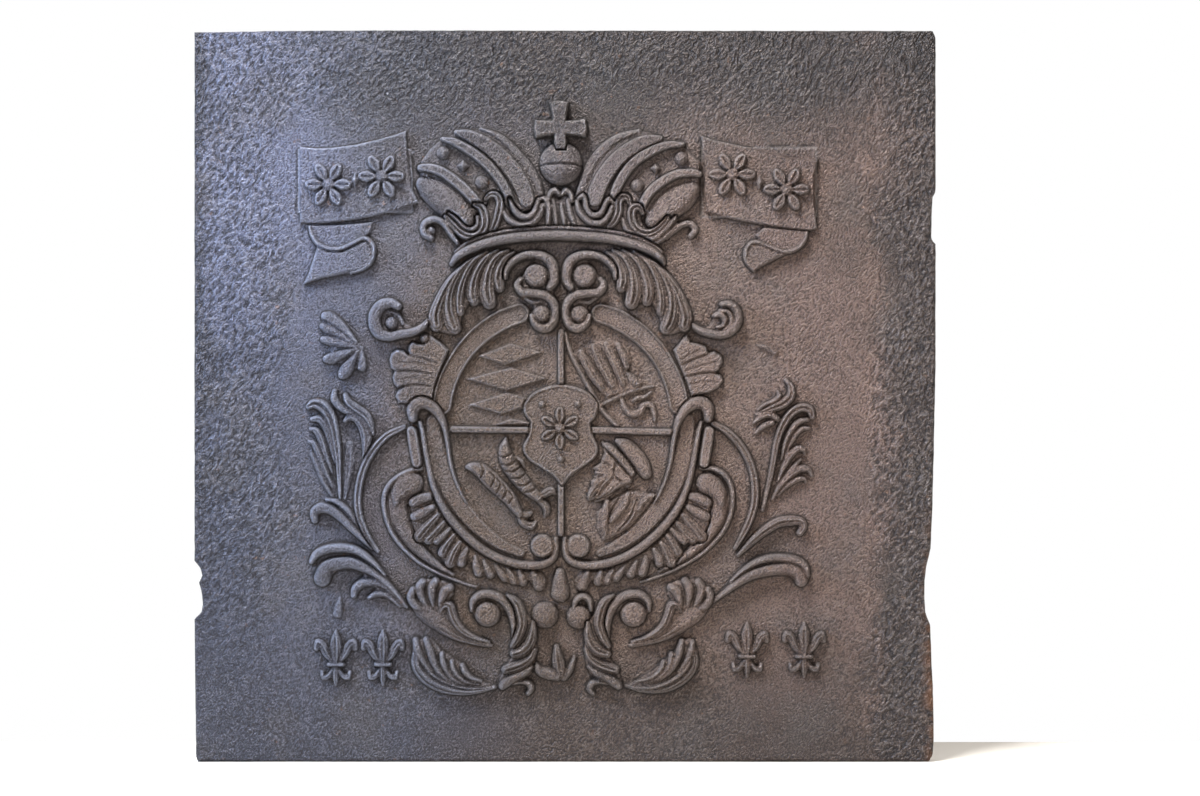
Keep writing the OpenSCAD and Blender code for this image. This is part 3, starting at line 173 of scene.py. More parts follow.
CROWN_CAP_RIGHT = [
    slab(5.5, [[139, 588], [140, 600], [133, 606], [124, 614], [106, 621], [88, 630], [70, 632], [55, 627],
        [40, 615], [28, 598], [20, 580], [16, 565], [24, 552], [46, 548], [64, 560], [84, 548], [93, 538],
        [104, 544], [124, 551], [138, 566]], 4),
    ridge("round", 6.8, [[19, 567, 4.5], [25, 583, 5.5], [31.5, 597.5, 6], [43, 612, 6], [58, 623.5, 5],
        [78, 630, 3]]),
    ridge("flat", 8.8, [[34, 563, 9], [37.5, 574.5, 10], [44.5, 587, 9.6], [54, 599.5, 9.2], [66, 610, 8.7],
        [83, 619.5, 7.5], [98, 622.5, 4]]),
    ridge("flat", 11, [[52.5, 562, 4.2], [55.5, 573, 5.2], [64, 588, 5.6], [74.5, 600, 5.6],
        [88.5, 609, 5.4], [104, 615.5, 4.6], [121, 617, 2.8]]),
    button(120, 603, 7.6, 11.5),
    lozenge(94.5, 593, 8, 8, 11),
    button(76, 576, 7.4, 11.5),
    ridge("flat", 11, [[80, 550, 4], [82.5, 559, 4.8], [90.5, 571, 5.2], [104, 581.5, 5.2],
        [117, 587.5, 4.8], [130, 588.5, 4.4], [138, 587.3, 3.4]]),
    ridge("round", 9.5, [[92, 541, 8], [98, 548, 11.5], [108.5, 557.5, 15.5], [120.5, 565.5, 14.5],
        [130.5, 573, 8.5]]),
]
CROWN_ORB = [
    button(0, 598, 21.5, 12),
    groove(2.2, [[-24, 594.5, 1.3], [-12, 596.8, 1.3], [0, 597.4, 1.3], [12, 596.8, 1.3],
        [24, 594.5, 1.3]]),
]
CROWN_CROSS = [
    slab(9, [[-12, 659.5], [-2, 661], [8, 659.5], [6, 647], [5, 641], [14, 641], [25, 643], [26.5, 633],
        [25, 624], [14, 626], [5.5, 626.5], [6, 618], [5, 611], [-5, 611], [-7, 618], [-7, 626.5],
        [-16, 625.5], [-25.5, 623], [-27, 632], [-26, 641.5], [-16, 641], [-8, 641], [-9, 648]], 1.5),
]
CROWN_FLEURONS = [
    slab(3.6, [[-116, 546], [-108, 533], [-97, 521], [-78, 531], [-46, 533], [-13, 535], [14, 535],
        [46, 531], [76, 526], [96, 518], [108, 529], [117, 542], [112, 545], [98, 532], [86, 531],
        [80, 541], [79, 553], [69, 556], [64, 566], [57, 566], [52, 556], [44, 545], [33, 541], [25, 548],
        [21, 562], [11, 556], [6, 568], [-2, 562], [-8, 568], [-13, 556], [-20, 562], [-26, 549],
        [-36, 541], [-50, 546], [-58, 562], [-70, 566], [-76, 552], [-84, 553], [-80, 541], [-84, 531],
        [-92, 529], [-104, 540]]),
    ridge("double", 9, [[-115, 545.5, 2.5], [-108, 536.5, 3.8], [-100, 528.8, 4.2], [-91, 525, 4.4],
        [-82, 526.8, 4.6], [-76.3, 535, 4.8], [-76.2, 546, 4.8], [-80, 554.5, 4.6], [-86, 557, 3]]),
    ridge("round", 9, [[-112, 549, 2], [-105, 543.5, 2.6], [-97.5, 535.5, 2.8], [-89, 532.3, 2.8],
        [-83.2, 537, 2.6], [-83.6, 545, 2]]),
    ridge("double", 9, [[-75, 562.5, 2.5], [-70.5, 567, 3.4], [-64, 566.3, 4], [-60.8, 558.5, 4.4],
        [-62.5, 547.5, 4.6], [-65.5, 537.5, 4.2], [-69.5, 530, 2.6]]),
    ridge("round", 9, [[-58, 550, 2.5], [-53, 542.5, 3.3], [-45, 537.8, 3.6], [-36, 536.6, 3.6],
        [-27, 540, 3.6], [-20.6, 548, 3.6], [-18.2, 556, 3.2]]),
    ridge("round", 9.5, [[-51, 562.5, 2.5], [-47.6, 553.5, 3.4], [-41.5, 546.5, 3.8], [-34, 544.3, 3.8],
        [-27.3, 548, 3.7], [-24.3, 555.5, 3.4], [-22.5, 562, 2.6]]),
    ridge("round", 9, [[-21.5, 562.5, 2.2], [-16.8, 563.2, 3], [-13, 558, 3.4], [-12.2, 548, 3.6],
        [-12.8, 538, 2.8]]),
    ridge("round", 9, [[-12, 561.5, 2.2], [-10.6, 568, 3], [-6, 571.5, 3.2], [-1.8, 567.5, 2.4]]),
    ridge("round", 8.5, [[-8, 562, 2.2], [-6.5, 552, 3], [-5, 542, 3], [-4.5, 536, 2]]),
    ridge("round", 9, [[1, 567.5, 2.2], [5.2, 571.3, 3.2], [9.6, 567.3, 3], [11, 561, 2.2]]),
    ridge("round", 8.5, [[0.3, 558, 1.8], [1.3, 550, 2.8], [3, 542, 3], [4, 536, 2]]),
    ridge("round", 8.5, [[7, 562, 2.2], [8.5, 552, 3], [11, 543, 3.2], [14, 537, 2.4]]),
    ridge("round", 9, [[16, 560, 2.5], [18, 551, 3.4], [24.5, 542.8, 3.7], [33, 538.7, 3.8],
        [41, 539.5, 3.7], [47.5, 546, 3.6], [51.2, 554.5, 3]]),
    ridge("round", 9.5, [[17.5, 563, 2.3], [21.8, 566, 3.2], [24.6, 561, 3.2], [25.4, 553.5, 3.4],
        [29.5, 547.3, 3.6], [36, 546.2, 3.6], [41.3, 550, 3.5], [44, 557, 3.3], [48, 562.5, 3.2],
        [52, 559, 2.4]]),
    ridge("double", 9, [[69, 558, 2.5], [66.5, 563.8, 3.6], [61, 565, 4.2], [57.5, 559, 4.5],
        [57.5, 550, 4.6], [54, 541, 4.2], [48, 534.5, 2.6]]),
    ridge("double", 9, [[81.5, 549, 2.6], [78, 554.5, 4], [72, 553.5, 4.6], [70.2, 546, 4.8],
        [73, 536, 4.7], [80, 529.8, 4.4], [88, 528.6, 4.2], [96, 532.2, 4], [103, 539, 3.6],
        [106.5, 544, 3]]),
    ridge("round", 8.5, [[61.5, 543, 2.2], [65, 533.5, 3.2], [72.5, 526.8, 3.4], [83, 522.8, 3.4],
        [93, 523.6, 3.4], [102, 530, 3.3], [109, 537.5, 3.2], [114, 544.5, 2.4]]),
    ridge("round", 7.5, [[89, 516.5, 2], [99, 521.5, 2.8], [108, 528.6, 2.8], [116, 537, 2]]),
    ridge("round", 8, [[-103, 518.5, 2], [-110, 528, 3.2], [-117, 538.5, 3.6], [-127, 542.5, 3.6],
        [-136, 538, 3.8], [-136.5, 529, 4], [-130, 524, 3.5]]),
    button(-130, 531, 4.5, 7),
    ridge("round", 6, [[105, 523, 1.5], [113, 531, 2.6], [122, 537.5, 3], [129.5, 538, 3.2],
        [134, 532, 3.5], [130, 526, 3]]),
]
CROWN_CIRCLET = [
    ridge("round", 11, [[-109, 498, 2.5], [-103, 505.5, 4], [-90, 513, 4.7], [-70, 519.8, 5],
        [-45, 524.4, 5.1], [-20, 526.3, 5.1], [0, 526.5, 5.1], [25, 525.4, 5.1], [50, 523, 5],
        [75, 517.2, 4.8], [90, 511, 4.5], [99.5, 504, 3.6], [103, 498.5, 2]]),
    ridge("round", 7, [[-105, 510, 1.8], [-93, 519, 2.3], [-72, 526.8, 2.6], [-46, 531.5, 2.6],
        [-20, 533.7, 2.6], [0, 534, 2.6], [25, 532.7, 2.6], [50, 530.2, 2.6], [75, 524.4, 2.6],
        [92, 516.8, 2.3], [101, 509.5, 1.6]]),
]
BANNER_LEFT = [
    slab(4.6, [[-261, 615], [-245, 613.5], [-230, 614], [-206, 617], [-184, 622], [-166, 627], [-155, 631],
        [-152, 600], [-149, 574], [-142, 559], [-150, 557.5], [-166, 552], [-184, 547.5], [-204, 543.5],
        [-230, 540.5], [-261, 539]], 1.4),
    ridge("round", 5.4, [[-259, 541, 2], [-245, 541, 3], [-230, 542.3, 3.2], [-204, 545.5, 3.2],
        [-184, 549.5, 3.2], [-166, 554, 3], [-146, 559.5, 2]]),
]
BANNER_RIGHT = [
    slab(4.6, [[140, 626.5], [152, 622], [182, 615.5], [212, 608.5], [232, 603.5], [257, 602.5], [253, 585],
        [253, 560], [256, 533], [247, 531], [230, 533], [203, 537], [170, 543], [146, 549], [142, 570],
        [143, 590]], 1.4),
    ridge("round", 5.4, [[147, 551, 2], [170, 545.5, 2.8], [203, 539.3, 2.8], [230, 535.3, 2.8],
        [254, 534.5, 2]]),
]
BANNER_TAIL_LEFT = [
    slab(2.5, [[-252, 537], [-250, 528], [-243, 518], [-232, 513], [-218, 513], [-206, 519], [-196, 524],
        [-190, 530], [-188, 540], [-225, 537]]),
    slab(4.4, [[-243.5, 516], [-232, 510.5], [-218, 510.5], [-206, 516.5], [-196, 521.5], [-190.5, 517.5],
        [-187.5, 511], [-189.5, 501], [-197.5, 492.5], [-220, 487], [-240, 483], [-258, 477], [-252, 490],
        [-247, 505]], 3),
    ridge("round", 6, [[-251, 535, 1.5], [-249, 527, 2.2], [-242.5, 518, 2.6], [-231, 513, 2.6],
        [-219, 513.5, 2.6], [-206, 519.3, 2.6], [-196, 523.5, 2.6], [-189, 518, 2.6], [-187, 510, 2.6],
        [-190, 500, 2.6], [-198, 493, 2.2], [-210, 489, 1.5]]),
]
BANNER_TAIL_RIGHT = [
    slab(2.5, [[203, 535], [247, 531], [243, 520], [237, 513], [225, 509], [212, 513], [200, 519],
        [194, 527]]),
    slab(3.4, [[212, 512], [200, 518], [190, 518], [184, 510], [186, 498], [194, 491], [202, 496],
        [216, 503], [226, 508]], 3),
    ridge("round", 5, [[246, 531, 1.5], [243, 521, 2.2], [235, 513, 2.5], [223, 510.3, 2.5],
        [210, 514.2, 2.5], [199, 519, 2.5], [190, 518.5, 2.5], [184.5, 510, 2.5], [186, 499, 2.2],
        [193, 491, 1.5]]),
]
TOP_VOLUTE_LEFT = [
    ridge("round", 9, [[-55.5, 484, 2.5], [-54.5, 492, 3.2], [-49, 499.5, 3.6], [-41, 505, 3.8],
        [-30, 507.5, 4], [-18, 505.5, 4.8], [-9.8, 499, 5.6], [-7, 489, 5.8], [-7, 481, 5.2],
        [-11, 474.5, 4]]),
    button(-24.5, 486, 12.3, 9, 0.5),
    ridge("round", 9, [[-40.5, 482.5, 2.6], [-43.5, 476.5, 3.8], [-38, 469.5, 4.5], [-26, 468.5, 4.8],
        [-14, 465.5, 5], [-6.6, 456.5, 4.6], [-6.2, 445, 4.6], [-11, 436, 4.8], [-19, 434.2, 4.8],
        [-26, 438.5, 3.8], [-29.5, 446, 2.6]]),
    button(-19, 447.5, 9.3, 9, 0.3),
    ridge("round", 7, [[-35, 463.5, 2], [-28, 459.5, 2.2], [-20, 460.3, 2], [-14, 458, 1.2]]),
]
TOP_ACANTHUS_LEFT = [
    slab(4.5, [[-47, 511], [-76, 509], [-100, 495], [-118, 472], [-130, 450], [-129, 434], [-120, 430],
        [-110, 427], [-102, 430], [-99, 445], [-92, 459], [-80, 459], [-67, 456], [-67, 472], [-60, 473],
        [-57, 490], [-51, 501]], 3),
    ridge("leaf", 9.5, [[-47, 509.5, 1.5], [-55.5, 503, 3.6], [-61, 493.5, 5.5], [-63, 483, 6.8],
        [-61.5, 474.5, 5.2]]),
    ridge("leaf", 9.5, [[-53, 511.5, 1.5], [-63, 505.5, 3.8], [-70, 495, 5.5], [-73.5, 482, 7],
        [-74, 469, 8.5], [-71.5, 459.5, 7]]),
    ridge("leaf", 9.5, [[-63, 511.5, 1.5], [-74, 504, 3.5], [-82, 493, 5], [-87, 480, 6], [-88.5, 468, 6.5],
        [-87, 461, 5.2]]),
    ridge("leaf", 9.5, [[-74, 510, 1.5], [-84.5, 502.5, 3], [-92.5, 492, 4], [-98.5, 478, 4.8],
        [-101.5, 463, 5], [-101, 450, 4.5]]),
    ridge("leaf", 9.5, [[-82, 506, 1.5], [-94.5, 497.5, 3], [-104.5, 484, 4.6], [-111, 468, 5.8],
        [-112, 453, 7.2], [-109, 440, 8.2], [-106, 434, 6.5]]),
    ridge("leaf", 9.5, [[-89, 502, 1.5], [-101, 492, 3], [-112, 478, 4.6], [-120.5, 461, 6],
        [-125, 446, 7.2], [-124, 437, 7]]),
]
HORN_SCROLL_LEFT = [
    slab(4, [[-185, 447], [-183, 430], [-170, 425], [-156, 427], [-142, 432], [-150, 436], [-158, 441],
        [-164, 452], [-176, 456]], 3),
    ridge("round", 10, [[-163, 455.5, 4.2], [-170, 458.5, 5.6], [-179, 456, 6.6], [-185, 447.5, 7],
        [-185.5, 437.5, 7], [-181, 428.8, 6.5], [-171, 425.8, 5], [-160, 428, 4.6], [-148, 430, 4.3],
        [-139, 434.3, 3.6], [-133, 440.5, 2.6]]),
    button(-169, 439, 7, 9.5),
    ridge("round", 7, [[-176.5, 447, 1.5], [-171, 450.3, 2.2], [-165, 448.5, 2.8], [-160.5, 443, 2.8],
        [-158, 437.5, 2.2]]),
]
HORN_SCROLL_RIGHT = [
    slab(4, [[176, 450], [177, 437], [168, 428], [150, 428], [136, 433], [148, 436], [153, 446], [160, 455],
        [170, 457]], 3),
    ridge("round", 10, [[161, 457.5, 3], [169, 457.3, 4.2], [175.7, 450, 4.7], [176.3, 440, 4.8],
        [170, 431.2, 4.8], [160, 427.6, 4.6], [148, 428.8, 4.2], [138, 432, 3.6], [130, 437.5, 2.5]]),
    ridge("round", 9.5, [[159, 450.8, 2.4], [166, 450.4, 3.2], [170, 444.3, 3.4], [169.3, 437.3, 3.2],
        [163, 431.8, 2.5]]),
    ridge("round", 9, [[153.5, 446, 2.8], [158.5, 447.4, 3.9], [163.3, 442.8, 3.8], [162.3, 436.6, 3.2],
        [156.5, 434.3, 2.4]]),
]
SHELL_LEFT = [
    slab(5.4, [[-112, 412], [-120, 420], [-131, 427], [-131.5, 421], [-137, 417.5], [-143.5, 418.5],
        [-148, 420.5], [-152, 417], [-152.5, 411], [-151, 407.5], [-154, 408], [-157, 411.5], [-163.5, 413],
        [-169.5, 409], [-171.5, 402], [-170, 394], [-166.5, 391], [-168.5, 384.5], [-167, 378], [-163, 374],
        [-157.5, 375.5], [-163, 371.5], [-165.5, 366], [-162.5, 359], [-128, 358], [-126, 375],
        [-120, 392]]),
    button(-136, 423.5, 5, 6),
    groove(1.8, [[-152, 406.5, 1.2], [-140, 404, 1.4], [-124, 399, 0.8]]),
    groove(1.8, [[-167, 391, 1.2], [-150, 391, 1.4], [-128, 388, 0.8]]),
    groove(1.6, [[-158, 375.5, 1.2], [-144, 377, 1.2], [-130, 376, 0.8]]),
    groove(1, [[-162, 400, 0.8], [-145, 399, 1], [-128, 395, 0.7]]),
    groove(1, [[-160, 383, 0.8], [-145, 384.5, 1], [-130, 382, 0.7]]),
    groove(1, [[-144, 412, 0.8], [-134, 409, 1], [-122, 404, 0.7]]),
]
SHELL_RIGHT = [
    slab(5.4, [[112, 412], [119, 420], [126, 428], [129, 420], [137, 418.5], [145, 416], [147, 409],
        [153, 411], [160, 407], [162, 400], [157, 391.5], [154, 389], [160, 387], [162.5, 381], [157, 374],
        [149, 369.5], [130, 366], [126, 378], [118, 396]]),
    button(125, 422.5, 3.6, 6),
    groove(1.8, [[148, 408, 1.2], [134, 403, 1.4], [119, 396, 0.8]]),
    groove(1.8, [[156, 389.5, 1.2], [140, 388.5, 1.4], [123, 385, 0.8]]),
    groove(1, [[157, 400, 0.8], [142, 397, 1], [124, 391, 0.7]]),
    groove(1, [[156, 380, 0.8], [142, 380.5, 1], [127, 377, 0.7]]),
    groove(1, [[139, 412, 0.8], [130, 408, 1], [118, 401, 0.7]]),
]
OVAL_MOULDING_LEFT = [
    ridge("rim", 4.5, [[-119, 357, 10], [-116.3, 371, 10], [-111, 386, 9.8], [-102.5, 402, 9.8],
        [-91, 417.3, 10], [-76, 431, 10.4], [-58, 442.3, 10.6], [-41, 448.5, 10]]),
]
STRAP_SCROLL_LEFT = [
    ridge("round", 9, [[-148, 344, 4.5], [-148, 352, 6.3], [-143.5, 358.3, 6.8], [-136, 359.3, 6.4],
        [-127.5, 354.5, 5.4], [-120.5, 345.5, 4.4], [-116, 333.5, 3], [-113.2, 318, 2.4],
        [-110.5, 300, 2.1], [-106, 284, 1.8], [-99.5, 268.5, 1.4], [-94, 259, 1]]),
    ridge("round", 7, [[-141, 339.5, 2], [-138.3, 330, 2.6], [-135.5, 313, 3], [-132, 295, 3.1],
        [-127.3, 276, 3.4], [-119.5, 257.5, 4], [-108, 240.5, 4.4], [-94, 225.5, 4.5], [-77, 211.8, 4.5],
        [-57, 201.8, 4.4], [-36, 197, 4.3], [-19.5, 197.8, 4.2], [-8.7, 203.5, 3.8], [-5, 213, 3.2],
        [-5, 223, 2.5]]),
    ridge("flat", 3.2, [[-128, 341, 7], [-126, 325, 8.5], [-122.5, 305, 9.6], [-116.2, 285, 10.6],
        [-107, 266, 10.4], [-94, 247.5, 9.4], [-78, 231, 8], [-58, 217, 6], [-40, 209, 4]]),
    button(-18.5, 216.3, 11.8, 7, 0.75),
]
UPRIGHT_BAR_LEFT = [
    ridge("flat", 6.5, [[-149, 331, 5.3], [-147, 318, 5.7], [-144.8, 305, 5.6], [-143.8, 299, 5.2]]),
]
OUTER_SCROLL_LEFT = [
    ridge("double", 5, [[-157, 335, 2.5], [-174, 326.5, 3.5], [-188, 311, 3.9], [-197, 294, 4],
        [-202, 275, 4], [-203, 256, 4], [-199.3, 239, 3.8], [-191.5, 223, 3.2], [-183, 211, 2]]),
]
OUTER_SCROLL_RIGHT = [
    ridge("double", 5, [[152, 339, 2.5], [166, 330.5, 3.5], [179, 317, 3.9], [188.5, 300, 4],
        [193.3, 282, 4], [193.8, 263, 4], [190, 246, 3.8], [183, 230, 3.2], [174, 214, 2]]),
]
INNER_SCROLL_LEFT = [
    ridge("round", 7, [[-139.5, 294, 2], [-150, 291.5, 2.8], [-162, 285.5, 3], [-171.5, 277, 3],
        [-176, 267, 3], [-176.5, 255, 2.8], [-173.5, 241, 2.8], [-167.5, 227.5, 2.6], [-159, 216, 2.4],
        [-149, 206, 2.2], [-138, 197.5, 2], [-122, 189, 1.8], [-103, 181, 1.5], [-85, 175, 1.2]]),
    ridge("round", 5.6, [[-151, 277, 12], [-160.5, 269, 11], [-164, 257, 10], [-161.5, 243, 9.4],
        [-155, 229.5, 8.4], [-146.5, 217.5, 7], [-136, 207, 5.4], [-123, 197, 3.6], [-108, 188, 2]]),
    ridge("round", 8.6, [[-149.5, 279, 12], [-156, 276, 11], [-162.5, 268.5, 8], [-165, 258, 3]]),
]
INNER_SCROLL_RIGHT = [
    ridge("round", 7, [[140, 294, 2], [151, 293.7, 2.6], [162, 288.5, 2.8], [169.5, 277, 2.8],
        [171.3, 262, 2.8], [169, 247, 2.6], [162.8, 232.5, 2.5], [153, 220, 2.4], [141, 209, 2.2],
        [127, 199.8, 2], [112, 191.8, 1.8], [96, 185.3, 1.6], [80, 180.3, 1.2]]),
    ridge("round", 5.6, [[147, 277, 11.3], [156, 269, 10], [159, 257, 9], [156, 243.5, 8.4],
        [149, 231, 7.4], [139.5, 219.5, 6.2], [128, 209, 4.8], [114, 199.5, 3.2], [98, 190.5, 1.8]]),
    ridge("round", 8.6, [[146.3, 278.5, 11.3], [153, 275, 10], [158.5, 267, 7], [160.5, 257, 3]]),
]
FRILL_LEFT = [
    slab(3.5, [[-131, 270], [-147, 267], [-152, 260], [-149, 249], [-150, 240], [-145.5, 229], [-140, 219],
        [-131, 219], [-123, 218.5], [-118, 223], [-122, 212], [-121, 206.5], [-116, 198], [-110, 194],
        [-104, 196.5], [-98, 195.5], [-92, 203], [-87.5, 195], [-82, 186], [-75, 187], [-70, 184],
        [-64, 189], [-57, 181], [-49, 177.5], [-37, 177], [-32, 182], [-24, 171], [-16, 173], [-14, 182],
        [-20, 190], [-45, 192], [-70, 203], [-97, 220], [-117, 243], [-126, 259]], 2.5),
    ridge("round", 7.5, [[-132, 265.5, 4.5], [-141, 262.8, 6], [-147, 260, 5.5]]),
    ridge("round", 7.5, [[-128.5, 255, 3.8], [-138, 249.5, 5.6], [-146, 245.5, 5]]),
    ridge("leaf", 7.5, [[-123, 247, 3.5], [-132.5, 236.5, 5.4], [-141.5, 225.5, 6]]),
    ridge("leaf", 7.5, [[-117, 239.5, 3], [-125.5, 229.5, 4.8], [-132.5, 222.5, 5]]),
    ridge("round", 7.5, [[-111, 233.5, 2.6], [-118, 226.3, 4.2], [-124, 221.5, 4.2]]),
    ridge("leaf", 7.5, [[-107, 227, 2.8], [-114, 217.5, 4.6], [-118, 209.5, 5]]),
    ridge("leaf", 7.5, [[-101, 220, 2.8], [-107.2, 209.5, 5.2], [-111, 199.5, 5.4]]),
    ridge("round", 7.5, [[-94, 213, 2.8], [-98.3, 205, 4.6], [-99.5, 199.5, 4.8]]),
    ridge("round", 7, [[-85.5, 205.5, 2.6], [-84.5, 197, 4.4], [-82, 190, 5]]),
    ridge("round", 7, [[-76.5, 201, 2.6], [-73.5, 193, 4.2], [-70.5, 188, 4.6]]),
    ridge("round", 6.5, [[-65, 196.5, 2.5], [-60, 189.5, 4], [-56, 184.5, 4.5]]),
    ridge("round", 6.5, [[-53, 193, 2.5], [-49.5, 186.5, 4.2], [-47, 182, 4.8]]),
    ridge("round", 6.5, [[-41, 191.5, 2.5], [-39.5, 185, 4.2], [-38, 180.5, 4.6]]),
    ridge("round", 6.5, [[-28, 190.5, 2.6], [-25, 183, 5], [-22, 177, 6]]),
]
SPRIG_LEFT = [
    ridge("double", 7, [[-221, 263, 1.2], [-221.5, 285, 2.4], [-222.5, 305, 3.4], [-225, 325, 4.6],
        [-229.5, 343, 5.8], [-237, 355, 6.2], [-246, 358.5, 5], [-252, 355.5, 3]]),
    ridge("leaf", 6, [[-226, 300, 1.2], [-230, 318, 3.2], [-234, 333, 4], [-240, 342.5, 4],
        [-248.5, 343, 2.6]]),
    ridge("leaf", 5.5, [[-229, 290, 1.2], [-234.5, 306, 3], [-239, 321, 3.8], [-244, 331, 3.4],
        [-250, 333, 2]]),
    ridge("leaf", 5, [[-229, 276, 1.2], [-236, 292, 3], [-241.5, 307, 3.6], [-246.5, 318, 3],
        [-252, 320.5, 1.6]]),
    ridge("round", 4, [[-228, 264, 1], [-237, 280, 2.8], [-243.5, 296, 3], [-249, 308, 2]]),
    ridge("leaf", 3.6, [[-216, 264, 1.5], [-213.5, 283, 4], [-211.5, 301, 5.4], [-211.5, 318, 3.6]]),
    ridge("round", 7, [[-226, 371, 2.6], [-226.5, 363.5, 4], [-221.5, 356, 4], [-213, 350.5, 3.2],
        [-205, 347.5, 1.6]]),
    ridge("leaf", 7, [[-215.5, 366.5, 2.8], [-212, 359, 4.6], [-203.5, 352.3, 5.2], [-195, 346, 5],
        [-190, 337, 3.4], [-187.5, 328, 1.4]]),
    ridge("leaf", 6, [[-216, 341, 2], [-211.5, 345, 3.4], [-204, 343.5, 4.6], [-197.5, 336, 5.6],
        [-194.5, 325, 5.6], [-195.5, 312, 3.4], [-198, 303, 1.2]]),
]
SPRIG_RIGHT = [
    ridge("double", 6, [[201.5, 252, 1.6], [205, 268, 2.2], [209, 285, 2.6], [212.5, 303, 2.9],
        [216, 321, 3.3], [221.8, 337, 3.9], [230, 349, 4.3], [240, 354.5, 4.3], [248.5, 352.5, 4.2],
        [251, 345.5, 3]]),
    ridge("round", 5.5, [[220.5, 303, 1.1], [224, 319, 2.4], [230, 332, 3.2], [237.5, 340.3, 3.2],
        [246.5, 342.5, 2]]),
    ridge("round", 5, [[224, 305, 1], [229.5, 319, 2.2], [235.5, 329, 2.8], [241, 333.5, 2.8],
        [247.5, 334, 1.8]]),
    ridge("leaf", 5, [[217, 281, 1.2], [222.5, 295, 2.8], [229, 306.5, 3.6], [236.5, 313.5, 3.4],
        [242, 312.5, 2.6], [243.5, 308, 1.4]]),
    ridge("round", 4.5, [[221, 281, 1], [228, 290.5, 2.2], [235, 298, 2.2], [239.5, 302.5, 1.2]]),
    ridge("leaf", 5, [[211, 263, 1.2], [219, 276.5, 2.8], [228.5, 287, 3.8], [238.5, 293.3, 3.8],
        [247, 292.5, 3], [251, 286.5, 1.6]]),
    ridge("round", 4.5, [[217, 267, 1], [226, 276.5, 2.4], [235, 282.5, 3], [242, 283.5, 2.2],
        [244.5, 280, 1.2]]),
    ridge("double", 6, [[224.5, 382, 1.6], [229.5, 375.5, 3.2], [229.5, 366, 4.4], [221.5, 358.2, 4.8],
        [209.5, 353.3, 3.6], [195.5, 347.5, 1.4]]),
    ridge("round", 5.5, [[216.5, 370.5, 1.4], [218, 366, 2.6], [213, 361.3, 2.6], [203, 357, 1.8],
        [197, 352, 1]]),
    ridge("leaf", 5.5, [[192.5, 339, 1.2], [200.5, 345.8, 3], [209, 348, 4], [216, 343.5, 3]]),
    ridge("leaf", 5, [[194.5, 328.5, 1], [201.5, 335.5, 2.8], [210.5, 339.8, 3.2]]),
    ridge("round", 3, [[197, 417, 1.5], [206, 414.5, 3.2], [214, 409.5, 2.5]]),
]
HOOK_LEFT = [
    slab(3, [[-247, 248], [-240, 256], [-226, 257], [-212, 247], [-200, 232], [-193, 221], [-200, 224],
        [-212, 237], [-224, 247], [-236, 249]]),
    ridge("round", 8, [[-246, 242, 3.4], [-246.3, 250, 4.7], [-239, 254.6, 5.6], [-229, 252, 5.2],
        [-219, 244.5, 4.8], [-209, 234.5, 4.2], [-199, 224.5, 3.3], [-189, 214.5, 2]]),
    ridge("round", 6.5, [[-234, 262.5, 2], [-223.5, 260, 3.2], [-213.5, 251.5, 3.5], [-205, 241, 3.1],
        [-197, 231, 2.3], [-190.5, 221.5, 1.2]]),
]
HOOK_RIGHT = [
    ridge("leaf", 7.5, [[238.5, 229.5, 3.5], [242, 235.5, 4.2], [238.8, 241, 4.4], [229, 241.5, 5.2],
        [218, 240, 5.2], [207, 234, 5], [196, 225.5, 4.2], [186, 216, 3.1], [177, 207, 1.8]]),
]
COMMA_LEFT = [
    ridge("round", 9.5, [[-249, 201, 3], [-243.5, 208.5, 4.4], [-232, 213.3, 5], [-218, 214.3, 5],
        [-205, 212, 4.6], [-194, 205.5, 3.8], [-184, 196, 2.6], [-176, 187, 1.5]]),
    ridge("round", 9.5, [[-238.5, 184, 8.6], [-234, 195, 7.8], [-223, 199.3, 7], [-210, 200, 6.5],
        [-198, 196, 5.6], [-186, 189, 4.2], [-174, 179, 3.1], [-163, 167, 2.3], [-154, 155, 1.2]]),
    ridge("round", 7, [[-207, 167, 3.2], [-205, 174.5, 4.2], [-197, 180, 4.6], [-186, 180.5, 4.2],
        [-175, 176, 3.6], [-165, 167, 2.8], [-156, 156, 1.5]]),
    ridge("round", 6, [[-192, 164.5, 2], [-185, 168.5, 3], [-176, 168.5, 3], [-168, 163.5, 2.5],
        [-161, 156, 1.5]]),
    ridge("round", 5, [[-221, 164, 1.5], [-222, 156, 3.5], [-223, 149, 5]]),
]
COMMA_RIGHT = [
    ridge("round", 9, [[246, 187, 3], [243.5, 195.5, 4.2], [235.5, 201.5, 4.7], [222, 204, 4.7],
        [208, 203.8, 4.3], [195, 200, 3.6], [182, 192, 2.6], [170, 181, 1.5]]),
    ridge("round", 9.5, [[240, 182, 6.6], [236, 190, 6.8], [226, 194, 6.8], [213, 193.3, 6.4],
        [201, 191, 5.8], [189, 187, 5.2], [177, 180, 4.2], [165, 171, 3.1], [152, 161, 1.8]]),
]
